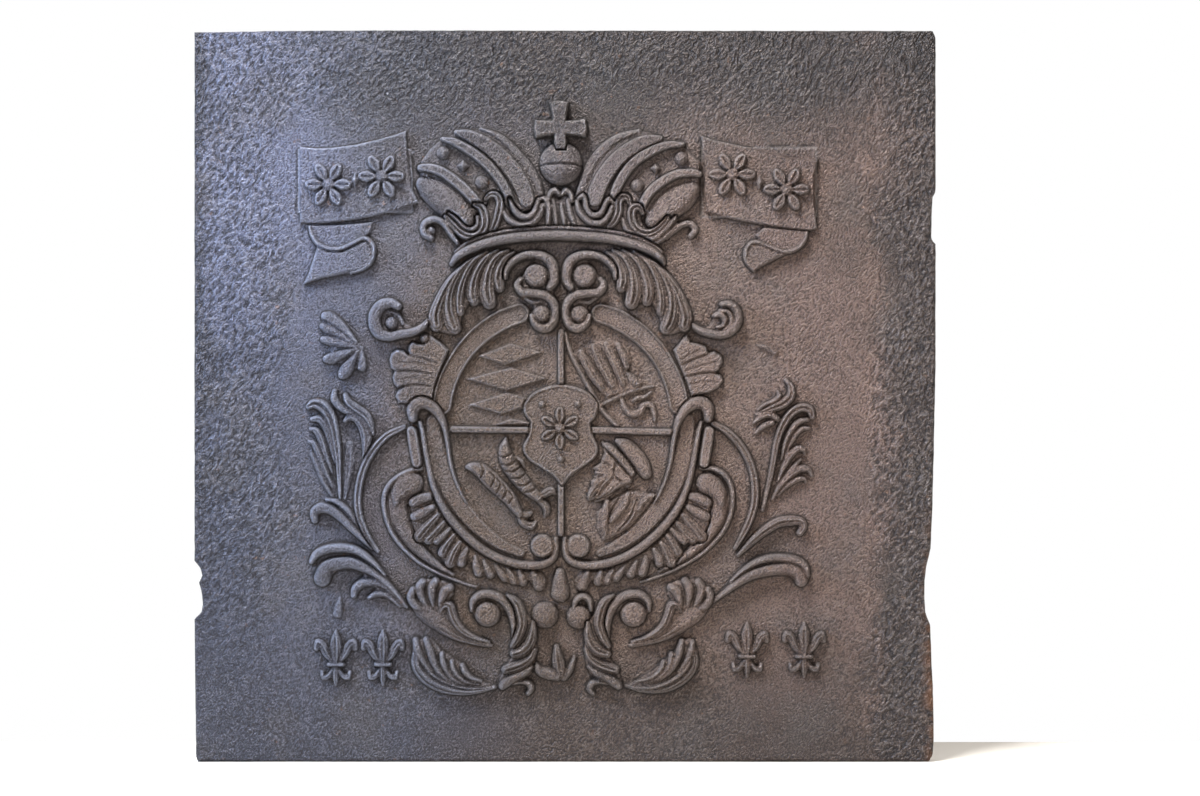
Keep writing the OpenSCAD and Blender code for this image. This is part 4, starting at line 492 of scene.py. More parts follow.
BOTTOM_ACANTHUS_LEFT = [
    slab(5, [[-151, 158], [-149, 171], [-142, 180], [-133, 183.5], [-117, 182], [-108, 178], [-107, 168],
        [-111, 163], [-106, 155], [-106, 147], [-102, 139], [-95, 131], [-85, 125], [-72, 121.5],
        [-68, 117], [-72, 114.5], [-86, 117], [-97, 120.5], [-108, 125], [-119, 130.5], [-132, 138],
        [-144, 146]], 3),
    ridge("round", 7, [[-141, 157, 8], [-133, 149, 10], [-124, 142, 9.5], [-114, 134, 8], [-104, 127.5, 6],
        [-94, 123, 4.2], [-82, 119.5, 3], [-70, 117, 1.6]]),
    ridge("round", 9.6, [[-137, 152, 2], [-145, 157, 4.4], [-149.5, 165, 4.8], [-147.5, 172, 4]]),
    ridge("round", 9.8, [[-134, 156, 2], [-139, 165, 4.4], [-141, 174, 5.2], [-138, 180, 4.2]]),
    ridge("round", 9.8, [[-127.5, 157, 2], [-129, 167, 4.4], [-128.5, 175.5, 5.4], [-125, 181, 4.2]]),
    ridge("round", 10, [[-121, 156, 2], [-119, 164, 4.4], [-115.5, 172, 5.8], [-111.5, 174.5, 4.8]]),
    ridge("leaf", 10, [[-120.5, 151, 2], [-117, 157, 3.8], [-111.5, 157, 4.6], [-109, 149, 4.8],
        [-105, 139.5, 4.4], [-97.5, 131, 3.8], [-86.5, 124.6, 2.8], [-72, 120.6, 1.4]]),
    groove(1.8, [[-119, 140, 0.8], [-108, 131.5, 1], [-96, 125.3, 0.9], [-76, 119.8, 0.6]]),
    groove(1.6, [[-121, 134, 0.8], [-108, 127, 1], [-96, 122, 0.9], [-76, 117.4, 0.6]]),
]
BOTTOM_LEAF_LEFT = [
    slab(5, [[-148, 122], [-130, 125], [-118, 112], [-106, 104], [-96, 98], [-88, 85], [-68, 78], [-82, 71],
        [-104, 68], [-124, 74], [-142, 88], [-149, 106]], 4),
    ridge("leaf", 8.8, [[-142, 108, 7], [-140, 97, 9.5], [-130.5, 85.5, 10], [-115, 77, 8.4],
        [-98, 72.8, 5.8], [-82, 72.8, 3.8], [-66, 75.3, 1.8]]),
    ridge("round", 9.6, [[-145, 122, 3.4], [-143, 113, 4.4], [-138, 102, 4], [-130, 92, 2.6]]),
    ridge("round", 9.8, [[-134.5, 122.5, 3.4], [-131, 113, 4.8], [-127, 101, 4.6], [-120, 89.5, 3.6],
        [-110, 81, 2.6], [-98, 77, 1.4]]),
    ridge("round", 10, [[-119, 108.5, 3.2], [-117.3, 99, 4], [-112, 89, 3.6], [-103, 81.3, 2.8],
        [-92, 77.5, 1.4]]),
    ridge("round", 10, [[-109, 101, 3], [-107.5, 93.5, 3.6], [-102, 86, 3.2], [-93, 80.5, 2.4],
        [-82, 78, 1.2]]),
    ridge("round", 10, [[-98.5, 97, 3], [-96, 91, 3.6], [-90, 85, 2.8], [-80, 81.3, 1.6]]),
]
BOTTOM_LEAF_RIGHT = [
    slab(5, [[137, 112], [130, 124], [119, 122], [112, 108], [102, 102], [92, 92], [74, 82], [64, 78],
        [80, 72], [98, 70], [116, 74], [130, 86], [137, 98]], 4),
    ridge("leaf", 8.8, [[130, 110, 6], [129.5, 99, 8], [121.5, 87.5, 8.6], [108.5, 78.8, 7.6],
        [95, 74.3, 5.6], [80, 73.5, 3.6], [65, 76.5, 1.6]]),
    ridge("round", 9.6, [[131, 120, 3], [129.5, 111, 4], [124.5, 100, 3.6], [117, 91, 2.4]]),
    ridge("round", 9.8, [[120.5, 121, 3], [118.5, 111, 4.2], [114, 99.5, 4], [107, 89.5, 3.2],
        [97, 82.5, 2.2], [86, 79, 1.2]]),
    ridge("round", 10, [[110.5, 108, 2.8], [109, 99.5, 3.6], [104, 91, 3.2], [95.5, 84, 2.4],
        [84, 80.3, 1.2]]),
    ridge("round", 10, [[102.5, 100, 2.8], [100, 93.5, 3.2], [93.5, 87, 2.8], [84.5, 82.8, 2],
        [74, 81, 1.1]]),
]
BOTTOM_VOLUTE_LEFT = [
    button(-73.3, 148.5, 13, 9.5, 0.5),
    ridge("round", 8.5, [[-89, 152, 2], [-88, 161, 3.6], [-80.5, 167.5, 4.2], [-70, 168, 4.6],
        [-60, 163.5, 4.6], [-52, 154.5, 4.6], [-47.7, 144, 4.4], [-46.5, 133, 3.6], [-47.5, 124, 2]]),
]
BOTTOM_FROND_LEFT = [
    slab(3.5, [[-52, 167], [-38, 156], [-27, 138], [-24, 114], [-26, 98], [-30, 88], [-42, 80], [-58, 75],
        [-62, 82], [-57, 95], [-50, 104], [-48, 118], [-42, 135], [-44, 152]]),
    ridge("leaf", 9, [[-53, 166.5, 2], [-45, 160.3, 4.6], [-40.3, 149, 5.6], [-39, 137, 5.6],
        [-43, 125.5, 4.8], [-48, 116.5, 3]]),
    ridge("leaf", 9, [[-27.5, 140, 2.5], [-28.5, 128, 4.6], [-32, 118, 5.8], [-39, 111.5, 6.2],
        [-46.5, 109, 4.6]]),
    ridge("leaf", 9, [[-26, 113, 2.5], [-30.5, 104.5, 4.2], [-39, 98.3, 5.6], [-48, 95, 6],
        [-55, 92.8, 4.6]]),
    ridge("round", 8.5, [[-29, 96, 2.5], [-37.5, 89.5, 4.2], [-47, 85, 5], [-55, 80.3, 5.5],
        [-58.5, 76.5, 4]]),
    ridge("round", 7, [[-47, 78.5, 1.3], [-39.5, 81, 2.8], [-32.5, 79.5, 3.4], [-29.7, 73.5, 3.4],
        [-33, 69, 2.5]]),
]
BOTTOM_KNOBS = [
    button(-16, 147.5, 13.3, 10.5),
    button(17.5, 145.5, 12, 9.5),
    ridge("round", 8.5, [[13, 153, 2], [15, 162, 3], [22, 166.3, 3.4], [28.5, 161.5, 3.2],
        [30, 152.5, 2.2]]),
    ridge("leaf", 9.5, [[-4.5, 116, 2.5], [-3.5, 106, 5], [-2, 96.5, 6.5], [0, 88.5, 5.5]]),
    ridge("round", 9, [[-25, 98, 2.6], [-21, 91.5, 4.8], [-13, 89, 6], [-4, 86.5, 5]]),
    ridge("round", 8, [[3, 85.5, 4], [8, 91, 3.6], [11, 98.5, 3], [13.5, 105.5, 2]]),
    ridge("round", 9, [[-1, 190, 4.5], [-1, 179, 7.5], [-0.8, 169.5, 9.5]]),
]
PALMETTE = [
    slab(2.8, [[-197, 415], [-208, 424], [-222, 440], [-234, 447], [-240, 438], [-236, 424], [-230, 414],
        [-232, 402], [-220, 398], [-217, 388], [-208, 393], [-200, 394], [-195, 402]], 3),
    ridge("round", 6.5, [[-205, 420, 2], [-217.5, 433.5, 4.8], [-229, 443, 6.6], [-235, 445.5, 5]]),
    ridge("round", 6, [[-206, 417.5, 2], [-220, 426.5, 4.4], [-232, 433, 5.6], [-237.5, 435.5, 4]]),
    ridge("round", 6, [[-205, 415, 2], [-218, 418, 4.3], [-230, 421.3, 5.2], [-237, 422.5, 3.6]]),
    ridge("round", 6.5, [[-204, 412.5, 2], [-216, 408.5, 4.6], [-228, 404, 6], [-234, 403, 4]]),
    ridge("round", 6.5, [[-202, 411, 2], [-208.5, 401, 5], [-215, 391.5, 6.8], [-218, 387.5, 5]]),
    ridge("round", 5.5, [[-199, 410, 2], [-199, 401, 4.5], [-199, 395.5, 5]]),
]
SHIELD_BARS = [
    ridge("flat", 4.5, [[0, 430, 3.2], [0, 404, 3.2], [0, 379, 3.2]]),
    ridge("flat", 4.5, [[0, 276, 3.2], [0, 252, 3.2], [0, 229, 3.2]]),
    ridge("flat", 4.5, [[-108, 332.6, 3.2], [-70, 332.3, 3.2], [-34, 332, 3.2]]),
    ridge("flat", 4.5, [[30, 332, 3.2], [70, 331, 3.2], [110, 330, 3.2]]),
]
HEART_SHIELD = [
    slab(4.2, [[-1, 378], [-14, 375.5], [-28, 369.5], [-37.5, 357], [-35.5, 346], [-30.5, 340],
        [-32.5, 327], [-38.5, 314], [-32, 302], [-19.5, 293.5], [-7, 285], [1, 275.5], [9, 285],
        [18.5, 292.5], [33, 303], [37.5, 314], [31.5, 327], [29.5, 339], [34.5, 345], [37.5, 357],
        [29, 368.5], [14, 375.5]], 1.6),
    ridge("round", 7.5, [[-1, 376, 1.9], [-14, 373.5, 2], [-27, 367.5, 2], [-35.5, 356.5, 2],
        [-33.5, 346.5, 1.9], [-28.7, 340, 1.9], [-30.5, 327, 2], [-36.3, 314, 2], [-30.5, 303.5, 2],
        [-18.5, 295.5, 2], [-6, 287, 2], [1, 277.8, 1.9]]),
    ridge("round", 7.5, [[-1, 376, 1.9], [14, 373.5, 2], [28, 366.8, 2], [35.5, 356.5, 2],
        [32.7, 345.7, 1.9], [27.7, 339, 1.9], [29.5, 327, 2], [35.3, 314, 2], [31.5, 304.5, 2],
        [17.5, 294.5, 2], [8, 287, 2], [1, 277.8, 1.9]]),
    *rosette(-1, 334, 21, 9.5, start=30),
    button(-19, 358, 4, 8.5),
    button(17, 358, 4, 8.5),
    button(0, 303, 4, 8.5),
]
QUARTER_LOZENGES = [
    slab(2.6, [[-83, 406], [-50, 418.5], [-19, 409.5], [-56, 397]], 0.9),
    slab(2.6, [[-95, 383], [-50, 394.5], [-13.5, 383.5], [-54, 371.5]], 0.9),
    slab(2.6, [[-93, 357], [-54, 369.5], [-34, 364.5], [-38.5, 354], [-60, 348]], 0.9),
    slab(2.6, [[-67, 337], [-50, 343.5], [-32, 340], [-31, 337.5]], 0.9),
]
QUARTER_PENNON = [
    ridge("round", 5.5, [[4, 428, 1.8], [9, 411, 2.4], [18, 393, 2.4], [30, 371, 2.4], [41, 352, 2.4],
        [56, 336, 2]]),
    slab(3, [[12, 408], [24, 417], [40, 421], [56, 421], [67, 414], [70, 400], [66, 391], [82, 381],
        [80, 373], [62, 369], [46, 364], [36, 374], [26, 392]], 3),
    ridge("leaf", 6.5, [[20, 410, 3], [26, 398, 5.2], [33, 386, 5.2], [41, 374, 3.5]]),
    ridge("leaf", 6.5, [[32, 416, 3], [38, 403, 5.2], [45, 390, 5.2], [51, 376, 3.5]]),
    ridge("leaf", 6.5, [[45, 418, 3], [51, 405, 5], [57, 392, 5], [62, 378, 3.2]]),
    ridge("round", 6, [[57, 417, 3], [62, 406, 4.5], [65, 396, 3.5]]),
    ridge("round", 5.5, [[64, 390, 2], [70, 384, 4.5], [76, 378, 4]]),
    ridge("round", 5, [[38, 356, 1.5], [52, 363, 2], [68, 370, 2], [82, 374, 1.8], [92, 375.5, 1.2]]),
    ridge("round", 5, [[60, 364, 1.6], [64, 354, 3], [71, 348, 3.6], [79, 350, 3.6], [83, 357, 3.2],
        [90, 357, 3], [93, 349, 2.6], [94, 342, 1.6]]),
    ridge("round", 4.5, [[72, 361, 1.4], [76, 364, 2.2], [84, 365, 2], [90, 370, 1.4]]),
    groove(3, [[23, 415, 0.8], [30, 402, 1.1], [38, 389, 1.1], [46, 375, 0.8]]),
    groove(3, [[37, 419, 0.8], [44, 405, 1.1], [51, 391, 1.1], [57, 376, 0.8]]),
    groove(2.6, [[51, 420, 0.8], [57, 407, 1.1], [62, 395, 1.1], [66, 384, 0.8]]),
]
QUARTER_FISH = [
    ridge("round", 6.5, [[-94, 295, 2], [-88, 295, 5], [-79, 291, 7.6], [-70, 282, 8.4], [-60, 272.5, 7.8],
        [-51, 263, 6.8], [-46, 255, 5.4], [-41, 247.5, 3.6]]),
    ridge("leaf", 5.5, [[-42, 248, 2.5], [-35, 247, 3.6], [-30, 249.5, 2]]),
    ridge("leaf", 5.5, [[-42, 246, 2.5], [-38, 240, 4], [-30, 236, 4], [-26, 239.5, 2]]),
    ridge("round", 4.5, [[-72, 291, 1], [-66, 287, 2.6], [-60, 280, 1.4]]),
    ridge("round", 6.5, [[-55, 323, 1.6], [-56.5, 312, 6], [-53, 300, 8], [-45, 288, 8.2], [-37, 278, 7.6],
        [-29, 270, 6], [-22, 264, 4.4]]),
    ridge("leaf", 5.5, [[-23, 265, 3], [-16, 268.5, 4], [-10, 271.5, 4], [-6.5, 269, 1.8]]),
    ridge("leaf", 5.5, [[-22, 262, 3], [-16, 257, 4], [-14, 251, 3.6], [-16, 246, 1.6]]),
    ridge("round", 4.5, [[-46, 305, 1], [-40, 301, 2.6], [-37, 295, 1.2]]),
    button(-89, 296, 1.5, 7),
    button(-55, 316, 1.5, 7),
    groove(2.6, [[-80, 298, 1], [-77, 292, 0.9], [-80, 285, 1]]),
    groove(2.6, [[-63, 307, 1], [-57, 305, 0.9], [-50, 308, 1]]),
    groove(2.4, [[-70, 290, 0.95], [-66, 284, 0.95], [-70, 276, 0.95]]),
    groove(2.4, [[-64, 284, 0.95], [-60, 278, 0.95], [-64, 270, 0.95]]),
    groove(2.4, [[-58, 278, 0.95], [-54, 271.5, 0.95], [-58, 264, 0.95]]),
    groove(2.4, [[-52, 271, 0.95], [-48, 265, 0.95], [-52, 259, 0.95]]),
    groove(2.4, [[-59, 298, 0.95], [-52, 297, 0.95], [-46, 301, 0.95]]),
    groove(2.4, [[-55, 291, 0.95], [-47, 291, 0.95], [-41, 295, 0.95]]),
    groove(2.4, [[-49, 284, 0.95], [-42, 284, 0.95], [-36, 288, 0.95]]),
    groove(2.4, [[-43, 277, 0.95], [-36, 277, 0.95], [-30, 281, 0.95]]),
    groove(2.4, [[-36, 270, 0.95], [-30, 271, 0.95], [-25, 274, 0.95]]),
]
QUARTER_BUST = [
    slab(4.5, [[36, 250], [36, 234], [42, 221], [56, 227], [70, 235], [79, 246], [87, 255], [97, 264],
        [91, 268], [79, 270.5], [68, 272], [56, 266], [44, 258]], 3),
    slab(7.5, [[44, 311], [40.5, 303], [41.2, 300.8], [36, 297], [31.6, 294], [35, 291.2], [33.4, 289],
        [34.6, 287.2], [33, 285.8], [33.4, 284], [30, 281.5], [30, 273], [38, 266], [50, 268], [61, 275],
        [70, 278], [73, 288], [64, 302], [54, 310]], 3.5),
    button(46, 289, 7, 8.4),
    ridge("round", 9, [[41.2, 301.6, 1], [45, 301.8, 1.6], [50, 298.5, 1.2]]),
    button(44.5, 297.2, 1.8, 9),
    groove(2.4, [[42, 297.6, 0.7], [45, 299.2, 0.9], [49, 297, 0.7]]),
    groove(2.6, [[34.2, 287.2, 0.8], [38.5, 286.2, 1], [42, 287, 0.7]]),
    ridge("leaf", 9, [[35, 289.6, 1.4], [39.5, 289, 2], [44, 285, 1.6]]),
    ridge("round", 9, [[56, 291, 1.6], [59.5, 288.5, 2], [58, 283.5, 1.4]]),
    ridge("leaf", 9, [[50, 285, 3], [43, 277, 5], [35, 269, 4.5], [29.5, 263.5, 2]]),
    ridge("leaf", 9, [[40, 282, 3], [35, 275, 4.5], [30, 268, 3.6], [28, 263, 1.6]]),
    ridge("leaf", 8.5, [[58, 280, 3], [50, 272.5, 4.5], [42, 266.5, 4], [35, 262, 2]]),
    ridge("round", 8, [[65, 290, 3], [68, 283, 3.6], [66.5, 277, 2.6]]),
    ridge("round", 8, [[61, 285, 2], [63, 279, 2.8], [61, 275.5, 2]]),
    ridge("round", 10, [[57, 321, 3], [65, 316, 7], [73, 307, 8.6], [80, 298, 8.4], [85, 289, 6]]),
    ridge("round", 9.4, [[45, 317, 3], [50, 312.5, 5], [57, 305.5, 5.6], [64, 297.5, 5.6],
        [70.5, 289.5, 4]]),
    ridge("round", 9, [[42, 319.5, 1], [43.6, 314.5, 1.8], [46, 309.5, 2]]),
    ridge("round", 8, [[67, 268, 3], [64, 259, 4.6], [57, 249.5, 4.8], [50, 242, 3.6]]),
    ridge("round", 7.4, [[46, 261, 3], [44.5, 249, 5], [43.5, 237, 5], [44.5, 227, 2.5]]),
    ridge("leaf", 7, [[56, 232, 3], [64, 238, 4.5], [71, 248, 4.5], [73.5, 261, 3]]),
    ridge("round", 7.4, [[78, 253, 3], [82, 261, 3.8], [89, 266, 3.2], [95, 266, 1.6]]),
    groove(4, [[42, 315, 0.9], [49, 308.5, 1.2], [57, 300, 1.2], [65, 291, 1.2], [70, 284, 0.8]]),
    groove(3.4, [[50, 320, 0.9], [58, 312, 1.2], [66, 303.5, 1.2], [72, 295.5, 1.2], [76, 287, 0.9]]),
    groove(3, [[56, 300, 0.7], [53, 293, 1], [54, 286, 1], [60, 281, 0.8]]),
    groove(3.4, [[70, 279, 0.8], [61, 275, 1.1], [51, 269, 1.1], [41, 264, 1], [33, 262, 0.8]]),
    groove(2.6, [[52, 284, 0.7], [45, 276, 0.9], [38, 268, 0.9]]),
    groove(2.4, [[43, 281, 0.7], [38, 274, 0.9], [33, 266, 0.7]]),
    groove(3, [[61, 270, 0.8], [56, 261, 1.1], [50, 250, 1.1], [47, 238, 0.8]]),
    groove(3, [[76, 263, 0.8], [72, 251, 1.1], [65, 240, 1.1], [57, 231, 0.8]]),
]
BANNER_ROSETTES_LEFT = rosette(-232, 577, 23, 5) + rosette(-179, 585, 23, 5) + [lozenge(-205.5, 581, 4, 8, 5)]
BANNER_ROSETTES_RIGHT = rosette(171, 587, 23, 5) + rosette(225, 572, 23, 5) + [lozenge(198, 579.5, 4, 8, 5)]

# from the uppermost layer down, because a motif dips under those before it
MOTIFS = {
    "crown_cross": CROWN_CROSS,
    "crown_orb": CROWN_ORB,
    "crown_circlet": CROWN_CIRCLET,
    "crown_fleurons": CROWN_FLEURONS,
    **pair("crown_cap", CROWN_CAP_LEFT, CROWN_CAP_RIGHT),
    **pair("top_volute", TOP_VOLUTE_LEFT),
    **pair("top_acanthus", TOP_ACANTHUS_LEFT),
    **pair("horn_scroll", HORN_SCROLL_LEFT, HORN_SCROLL_RIGHT),
    **pair("strap_scroll", STRAP_SCROLL_LEFT),
    **pair("upright_bar", UPRIGHT_BAR_LEFT),
    **pair("outer_scroll", OUTER_SCROLL_LEFT, OUTER_SCROLL_RIGHT),
    **pair("bottom_acanthus", BOTTOM_ACANTHUS_LEFT),
    **pair("frill", FRILL_LEFT),
    **pair("inner_scroll", INNER_SCROLL_LEFT, INNER_SCROLL_RIGHT),
    **pair("oval_moulding", OVAL_MOULDING_LEFT),
    **pair("shell", SHELL_LEFT, SHELL_RIGHT),
    **pair("bottom_leaf", BOTTOM_LEAF_LEFT, BOTTOM_LEAF_RIGHT),
    **pair("bottom_frond", BOTTOM_FROND_LEFT),
    **pair("bottom_volute", BOTTOM_VOLUTE_LEFT),
    "bottom_knobs": BOTTOM_KNOBS,
    **pair("hook", HOOK_LEFT, HOOK_RIGHT),
    **pair("sprig", SPRIG_LEFT, SPRIG_RIGHT),
    **pair("comma", COMMA_LEFT, COMMA_RIGHT),
    "heart_shield": HEART_SHIELD,
    "shield_bars": SHIELD_BARS,
    "quarter_lozenges": QUARTER_LOZENGES,
    "quarter_pennon": QUARTER_PENNON,
    "quarter_fish": QUARTER_FISH,
    "quarter_bust": QUARTER_BUST,
    **pair("banner", BANNER_LEFT, BANNER_RIGHT),
    **pair("banner_tail", BANNER_TAIL_LEFT, BANNER_TAIL_RIGHT),
    "palmette": PALMETTE,
    "lily_1": lily(-225, 104),
    "lily_2": lily(-178, 104),
    "lily_3": lily(186, 112),
    "lily_4": lily(243, 112),
    **pair("banner_rosettes", BANNER_ROSETTES_LEFT, BANNER_ROSETTES_RIGHT),
}
# height of the web that fills the gaps between a motif's forms, as a share of its highest form
WEBS = {"top_volute_left": 0.35, "top_volute_right": 0.35, "bottom_volute_left": 0.3,
        "bottom_volute_right": 0.3, "comma_left": 0.35, "comma_right": 0.35}
# height of the ground on which a motif lies, where that isn't the plate
GROUNDS = {"banner_rosettes_left": BANNER_FACE, "banner_rosettes_right": BANNER_FACE}


# ---- height field ----
FAR = 99.0                 # stands for any distance beyond the reach


def smooth(path):
    """Points on the smooth curve through a stroke's points."""
    p = np.asarray(path, float)
    q = np.vstack([2 * p[0] - p[1], p, 2 * p[-1] - p[-2]])
    spans = []
    for a, b, c, d in zip(q[:-3], q[1:-2], q[2:-1], q[3:]):
        count = max(2, int(np.hypot(*(c - b)[:2]) / STEP))
        t = np.arange(count)[:, None] / count
        spans.append(0.5 * (2 * b + (c - a) * t + (2 * a - 5 * b + 4 * c - d) * t**2
                            + (3 * b - a - 3 * c + d) * t**3))
    curve = np.vstack(spans + [p[-1:]])
    curve[:, 2] = np.maximum(curve[:, 2], THINNEST)
    return curve


def blur(a, sigma):
    """Softens a height field; sigma is in grid cells."""
    n = int(3 * sigma) + 1
    k = np.exp(-0.5 * (np.arange(-n, n + 1) / sigma) ** 2)
    k /= k.sum()
    p = np.pad(a, n, mode="edge")
    p = sum(k[i] * p[:, i:i + a.shape[1]] for i in range(2 * n + 1))
    return sum(k[i] * p[i:i + a.shape[0], :] for i in range(2 * n + 1))


def widened(a):
    """The highest of each cell and its neighbours."""
    p = np.pad(a, 1, mode="edge")
    p = np.maximum(np.maximum(p[:-2], p[1:-1]), p[2:])
    return np.maximum(np.maximum(p[:, :-2], p[:, 1:-1]), p[:, 2:])


def ease(low, high, a):
    """Goes softly from 0 to 1 while a goes from low to high."""
    t = np.clip((a - low) / (high - low), 0, 1)
    return t * t * (3 - 2 * t)


def bell(a, middle, width):
    """1 in the middle, falling softly away on both sides."""
    return np.exp(-((a - middle) / width) ** 2)


def section(kind, side):
    """Share of the full height across a stroke, from -1 to 1."""
    a = np.abs(side)
    dome = np.clip(1 - a ** 2.6, 0, 1) ** 0.5
    if kind == "leaf":
        return dome * (1 - 0.34 * bell(side, 0.12, 0.15) - 0.2 * bell(a, 0.58, 0.11))
    if kind == "flat":
        return np.clip((1 - a) * 4, 0, 1) ** 0.6
    if kind == "rim":
        return np.clip((1 - a) * 8, 0, 1) ** 0.6 * (0.5 + 0.5 * bell(a, 0.86, 0.1))
    if kind == "double":
        return dome * (1 - 0.42 * bell(side, 0, 0.26))
    return dome


class Board:
    """Part of the drawing board, with the height of what is drawn on it, below zero outside."""

    def __init__(self, i0, j0, across, up):
        self.xs = BOARD_X + CELL * np.arange(i0, i0 + across)
        self.zs = BOARD_Z + CELL * np.arange(j0, j0 + up)
        self.h = np.full((up, across), -REACH)
        self.cuts = np.zeros((up, across))

    def window(self, low_x, low_z, high_x, high_z):
        i = np.searchsorted(self.xs, [low_x, high_x])
        j = np.searchsorted(self.zs, [low_z, high_z])
        part = slice(j[0], j[1]), slice(i[0], i[1])
        x, z = np.meshgrid(self.xs[part[1]], self.zs[part[0]])
        return part, x, z

    def raise_to(self, part, value):
        self.h[part] = np.maximum(self.h[part], value)

    def stroke(self, path):
        """Distance outside a stroke, its half width and the share across it, near the stroke."""
        curve = smooth(path)
        gap = np.full(self.h.shape, FAR)
        wide = np.ones(self.h.shape)
        side = np.zeros(self.h.shape)
        for a, b in zip(curve[:-1], curve[1:]):
            pad = max(a[2], b[2]) + REACH + 1
            part, x, z = self.window(min(a[0], b[0]) - pad, min(a[1], b[1]) - pad,
                                     max(a[0], b[0]) + pad, max(a[1], b[1]) + pad)
            if not x.size:
                continue
            d = b[:2] - a[:2]
            t = np.clip(((x - a[0]) * d[0] + (z - a[1]) * d[1]) / max(float(d @ d), 1e-9), 0, 1)
            dx, dz = x - a[0] - t * d[0], z - a[1] - t * d[1]
            far = np.hypot(dx, dz)
            w = a[2] + (b[2] - a[2]) * t
            near = far - w < gap[part]
            gap[part] = np.where(near, far - w, gap[part])
            wide[part] = np.where(near, w, wide[part])
            side[part] = np.where(near, np.sign(d[0] * dz - d[1] * dx) * far / w, side[part])
        return gap, wide, side

    def ridge(self, kind, height, path):
        gap, wide, side = self.stroke(path)
        top = height * np.clip(wide / FULL_WIDTH, 0.35, 1) ** 0.5
        self.raise_to(slice(None), np.where(gap < 0, top * section(kind, side), -gap))

    def groove(self, depth, path):
        gap, wide, side = self.stroke(path)
        self.cuts = np.maximum(self.cuts, depth * np.exp(-side ** 2 * 1.6) * (gap < 3 * wide))

    def slab(self, height, outline, edge):
        p = np.asarray(outline, float)
        part, x, z = self.window(*(p.min(0)[:2] - REACH), *(p.max(0)[:2] + REACH))
        far = np.full(x.shape, FAR)
        inside = np.zeros(x.shape, bool)
        for a, b in zip(p, np.roll(p, -1, 0)):
            d = b - a
            t = np.clip(((x - a[0]) * d[0] + (z - a[1]) * d[1]) / float(d @ d), 0, 1)
            far = np.minimum(far, np.hypot(x - a[0] - t * d[0], z - a[1] - t * d[1]))
            if a[1] != b[1]:
                inside ^= ((a[1] > z) != (b[1] > z)) & (x < d[0] * (z - a[1]) / d[1] + a[0])
        k = np.clip(far / edge, 0, 1)
        self.raise_to(part, np.where(inside, height * np.sqrt(1 - (1 - k) ** 2), -far))

    def button(self, x0, z0, radius, height, flat):
        pad = radius + REACH
        part, x, z = self.window(x0 - pad, z0 - pad, x0 + pad, z0 + pad)
        far = np.hypot(x - x0, z - z0)
        s = np.clip((far / radius - flat) / (1 - flat), 0, 1)
        self.raise_to(part, np.where(far < radius, height * np.sqrt(1 - s * s) ** 0.9, radius - far))

    def lozenge(self, x0, z0, across, up, height):
        part, x, z = self.window(x0 - across - REACH, z0 - up - REACH, x0 + across + REACH, z0 + up + REACH)
        s = np.abs(x - x0) / across + np.abs(z - z0) / up
        self.raise_to(part, np.where(s < 1, height * np.clip((1 - s) * 1.3, 0, 1) ** 0.6,
                                     (1 - s) * min(across, up) * 0.8))


def reach_of(forms):
    """Lower left and upper right corner of all that the forms cover."""
    spots = []
    for form in forms:
        if form[0] == "ridge":
            spots += [(p[0] + s * p[2], p[1] + s * p[2]) for p in form[3] for s in (-1, 1)]
        elif form[0] == "slab":
            spots += [tuple(p[:2]) for p in form[2]]
        elif form[0] in ("button", "lozenge"):
            r = max(form[3], form[4]) if form[0] == "lozenge" else form[3]
            spots += [(form[1] + s * r, form[2] + s * r) for s in (-1, 1)]
    xs, zs = zip(*spots)
    return min(xs), min(zs), max(xs), max(zs)


covered = np.full((BOARD_UP, BOARD_ACROSS), -REACH)


def raise_motif(forms, tall, web, lifted):
    """Heights of one motif above the plate, its fillet included, and where its mesh reaches."""
    low_x, low_z, high_x, high_z = reach_of(forms)
    pad = REACH + 3
    i0 = max(0, int((low_x - pad - BOARD_X) / CELL))
    j0 = max(0, int((low_z - pad - BOARD_Z) / CELL))
    i1 = min(BOARD_ACROSS, int((high_x + pad - BOARD_X) / CELL) + 2)
    j1 = min(BOARD_UP, int((high_z + pad - BOARD_Z) / CELL) + 2)
    board = Board(i0, j0, i1 - i0, j1 - j0)
    for form in forms:
        getattr(board, form[0])(*form[1:])
    raised = np.maximum(board.h, 0)
    if web:
        filled = ease(0.40, 0.62, blur((board.h > -0.3) * 1.0, WEB_SPAN / CELL))
        raised = np.maximum(raised, web * raised.max() * filled)
        board.h = np.maximum(board.h, np.where(filled > 0.4, 0.1, -REACH))
    raised = np.maximum(raised - board.cuts, raised * CUT_FLOOR)
    raised *= tall / raised.max()
    gap = np.maximum(-board.h, 0)
    raised = np.maximum(raised, FILLET_HIGH * np.clip(1 - gap / FILLET_WIDE, 0, 1) ** 2.2)
    raised = blur(raised, SOFTENED / CELL) - SUNK * ease(1.9, REACH, gap)
    if not lifted:      # the motif dips under those that lie on it
        over = covered[j0:j1, i0:i1]
        room = ease(-0.3, 1.1, -over)
        raised = raised * room - SUNK * (1 - room)
        covered[j0:j1, i0:i1] = np.maximum(over, board.h)
    return i0, j0, raised, gap < REACH - 0.05


# ---- cast surface ----
NOISE_SPAN = 1000          # side of the square that the noise covers
NOISE_X, NOISE_Z = -450, -60     # its lower left corner


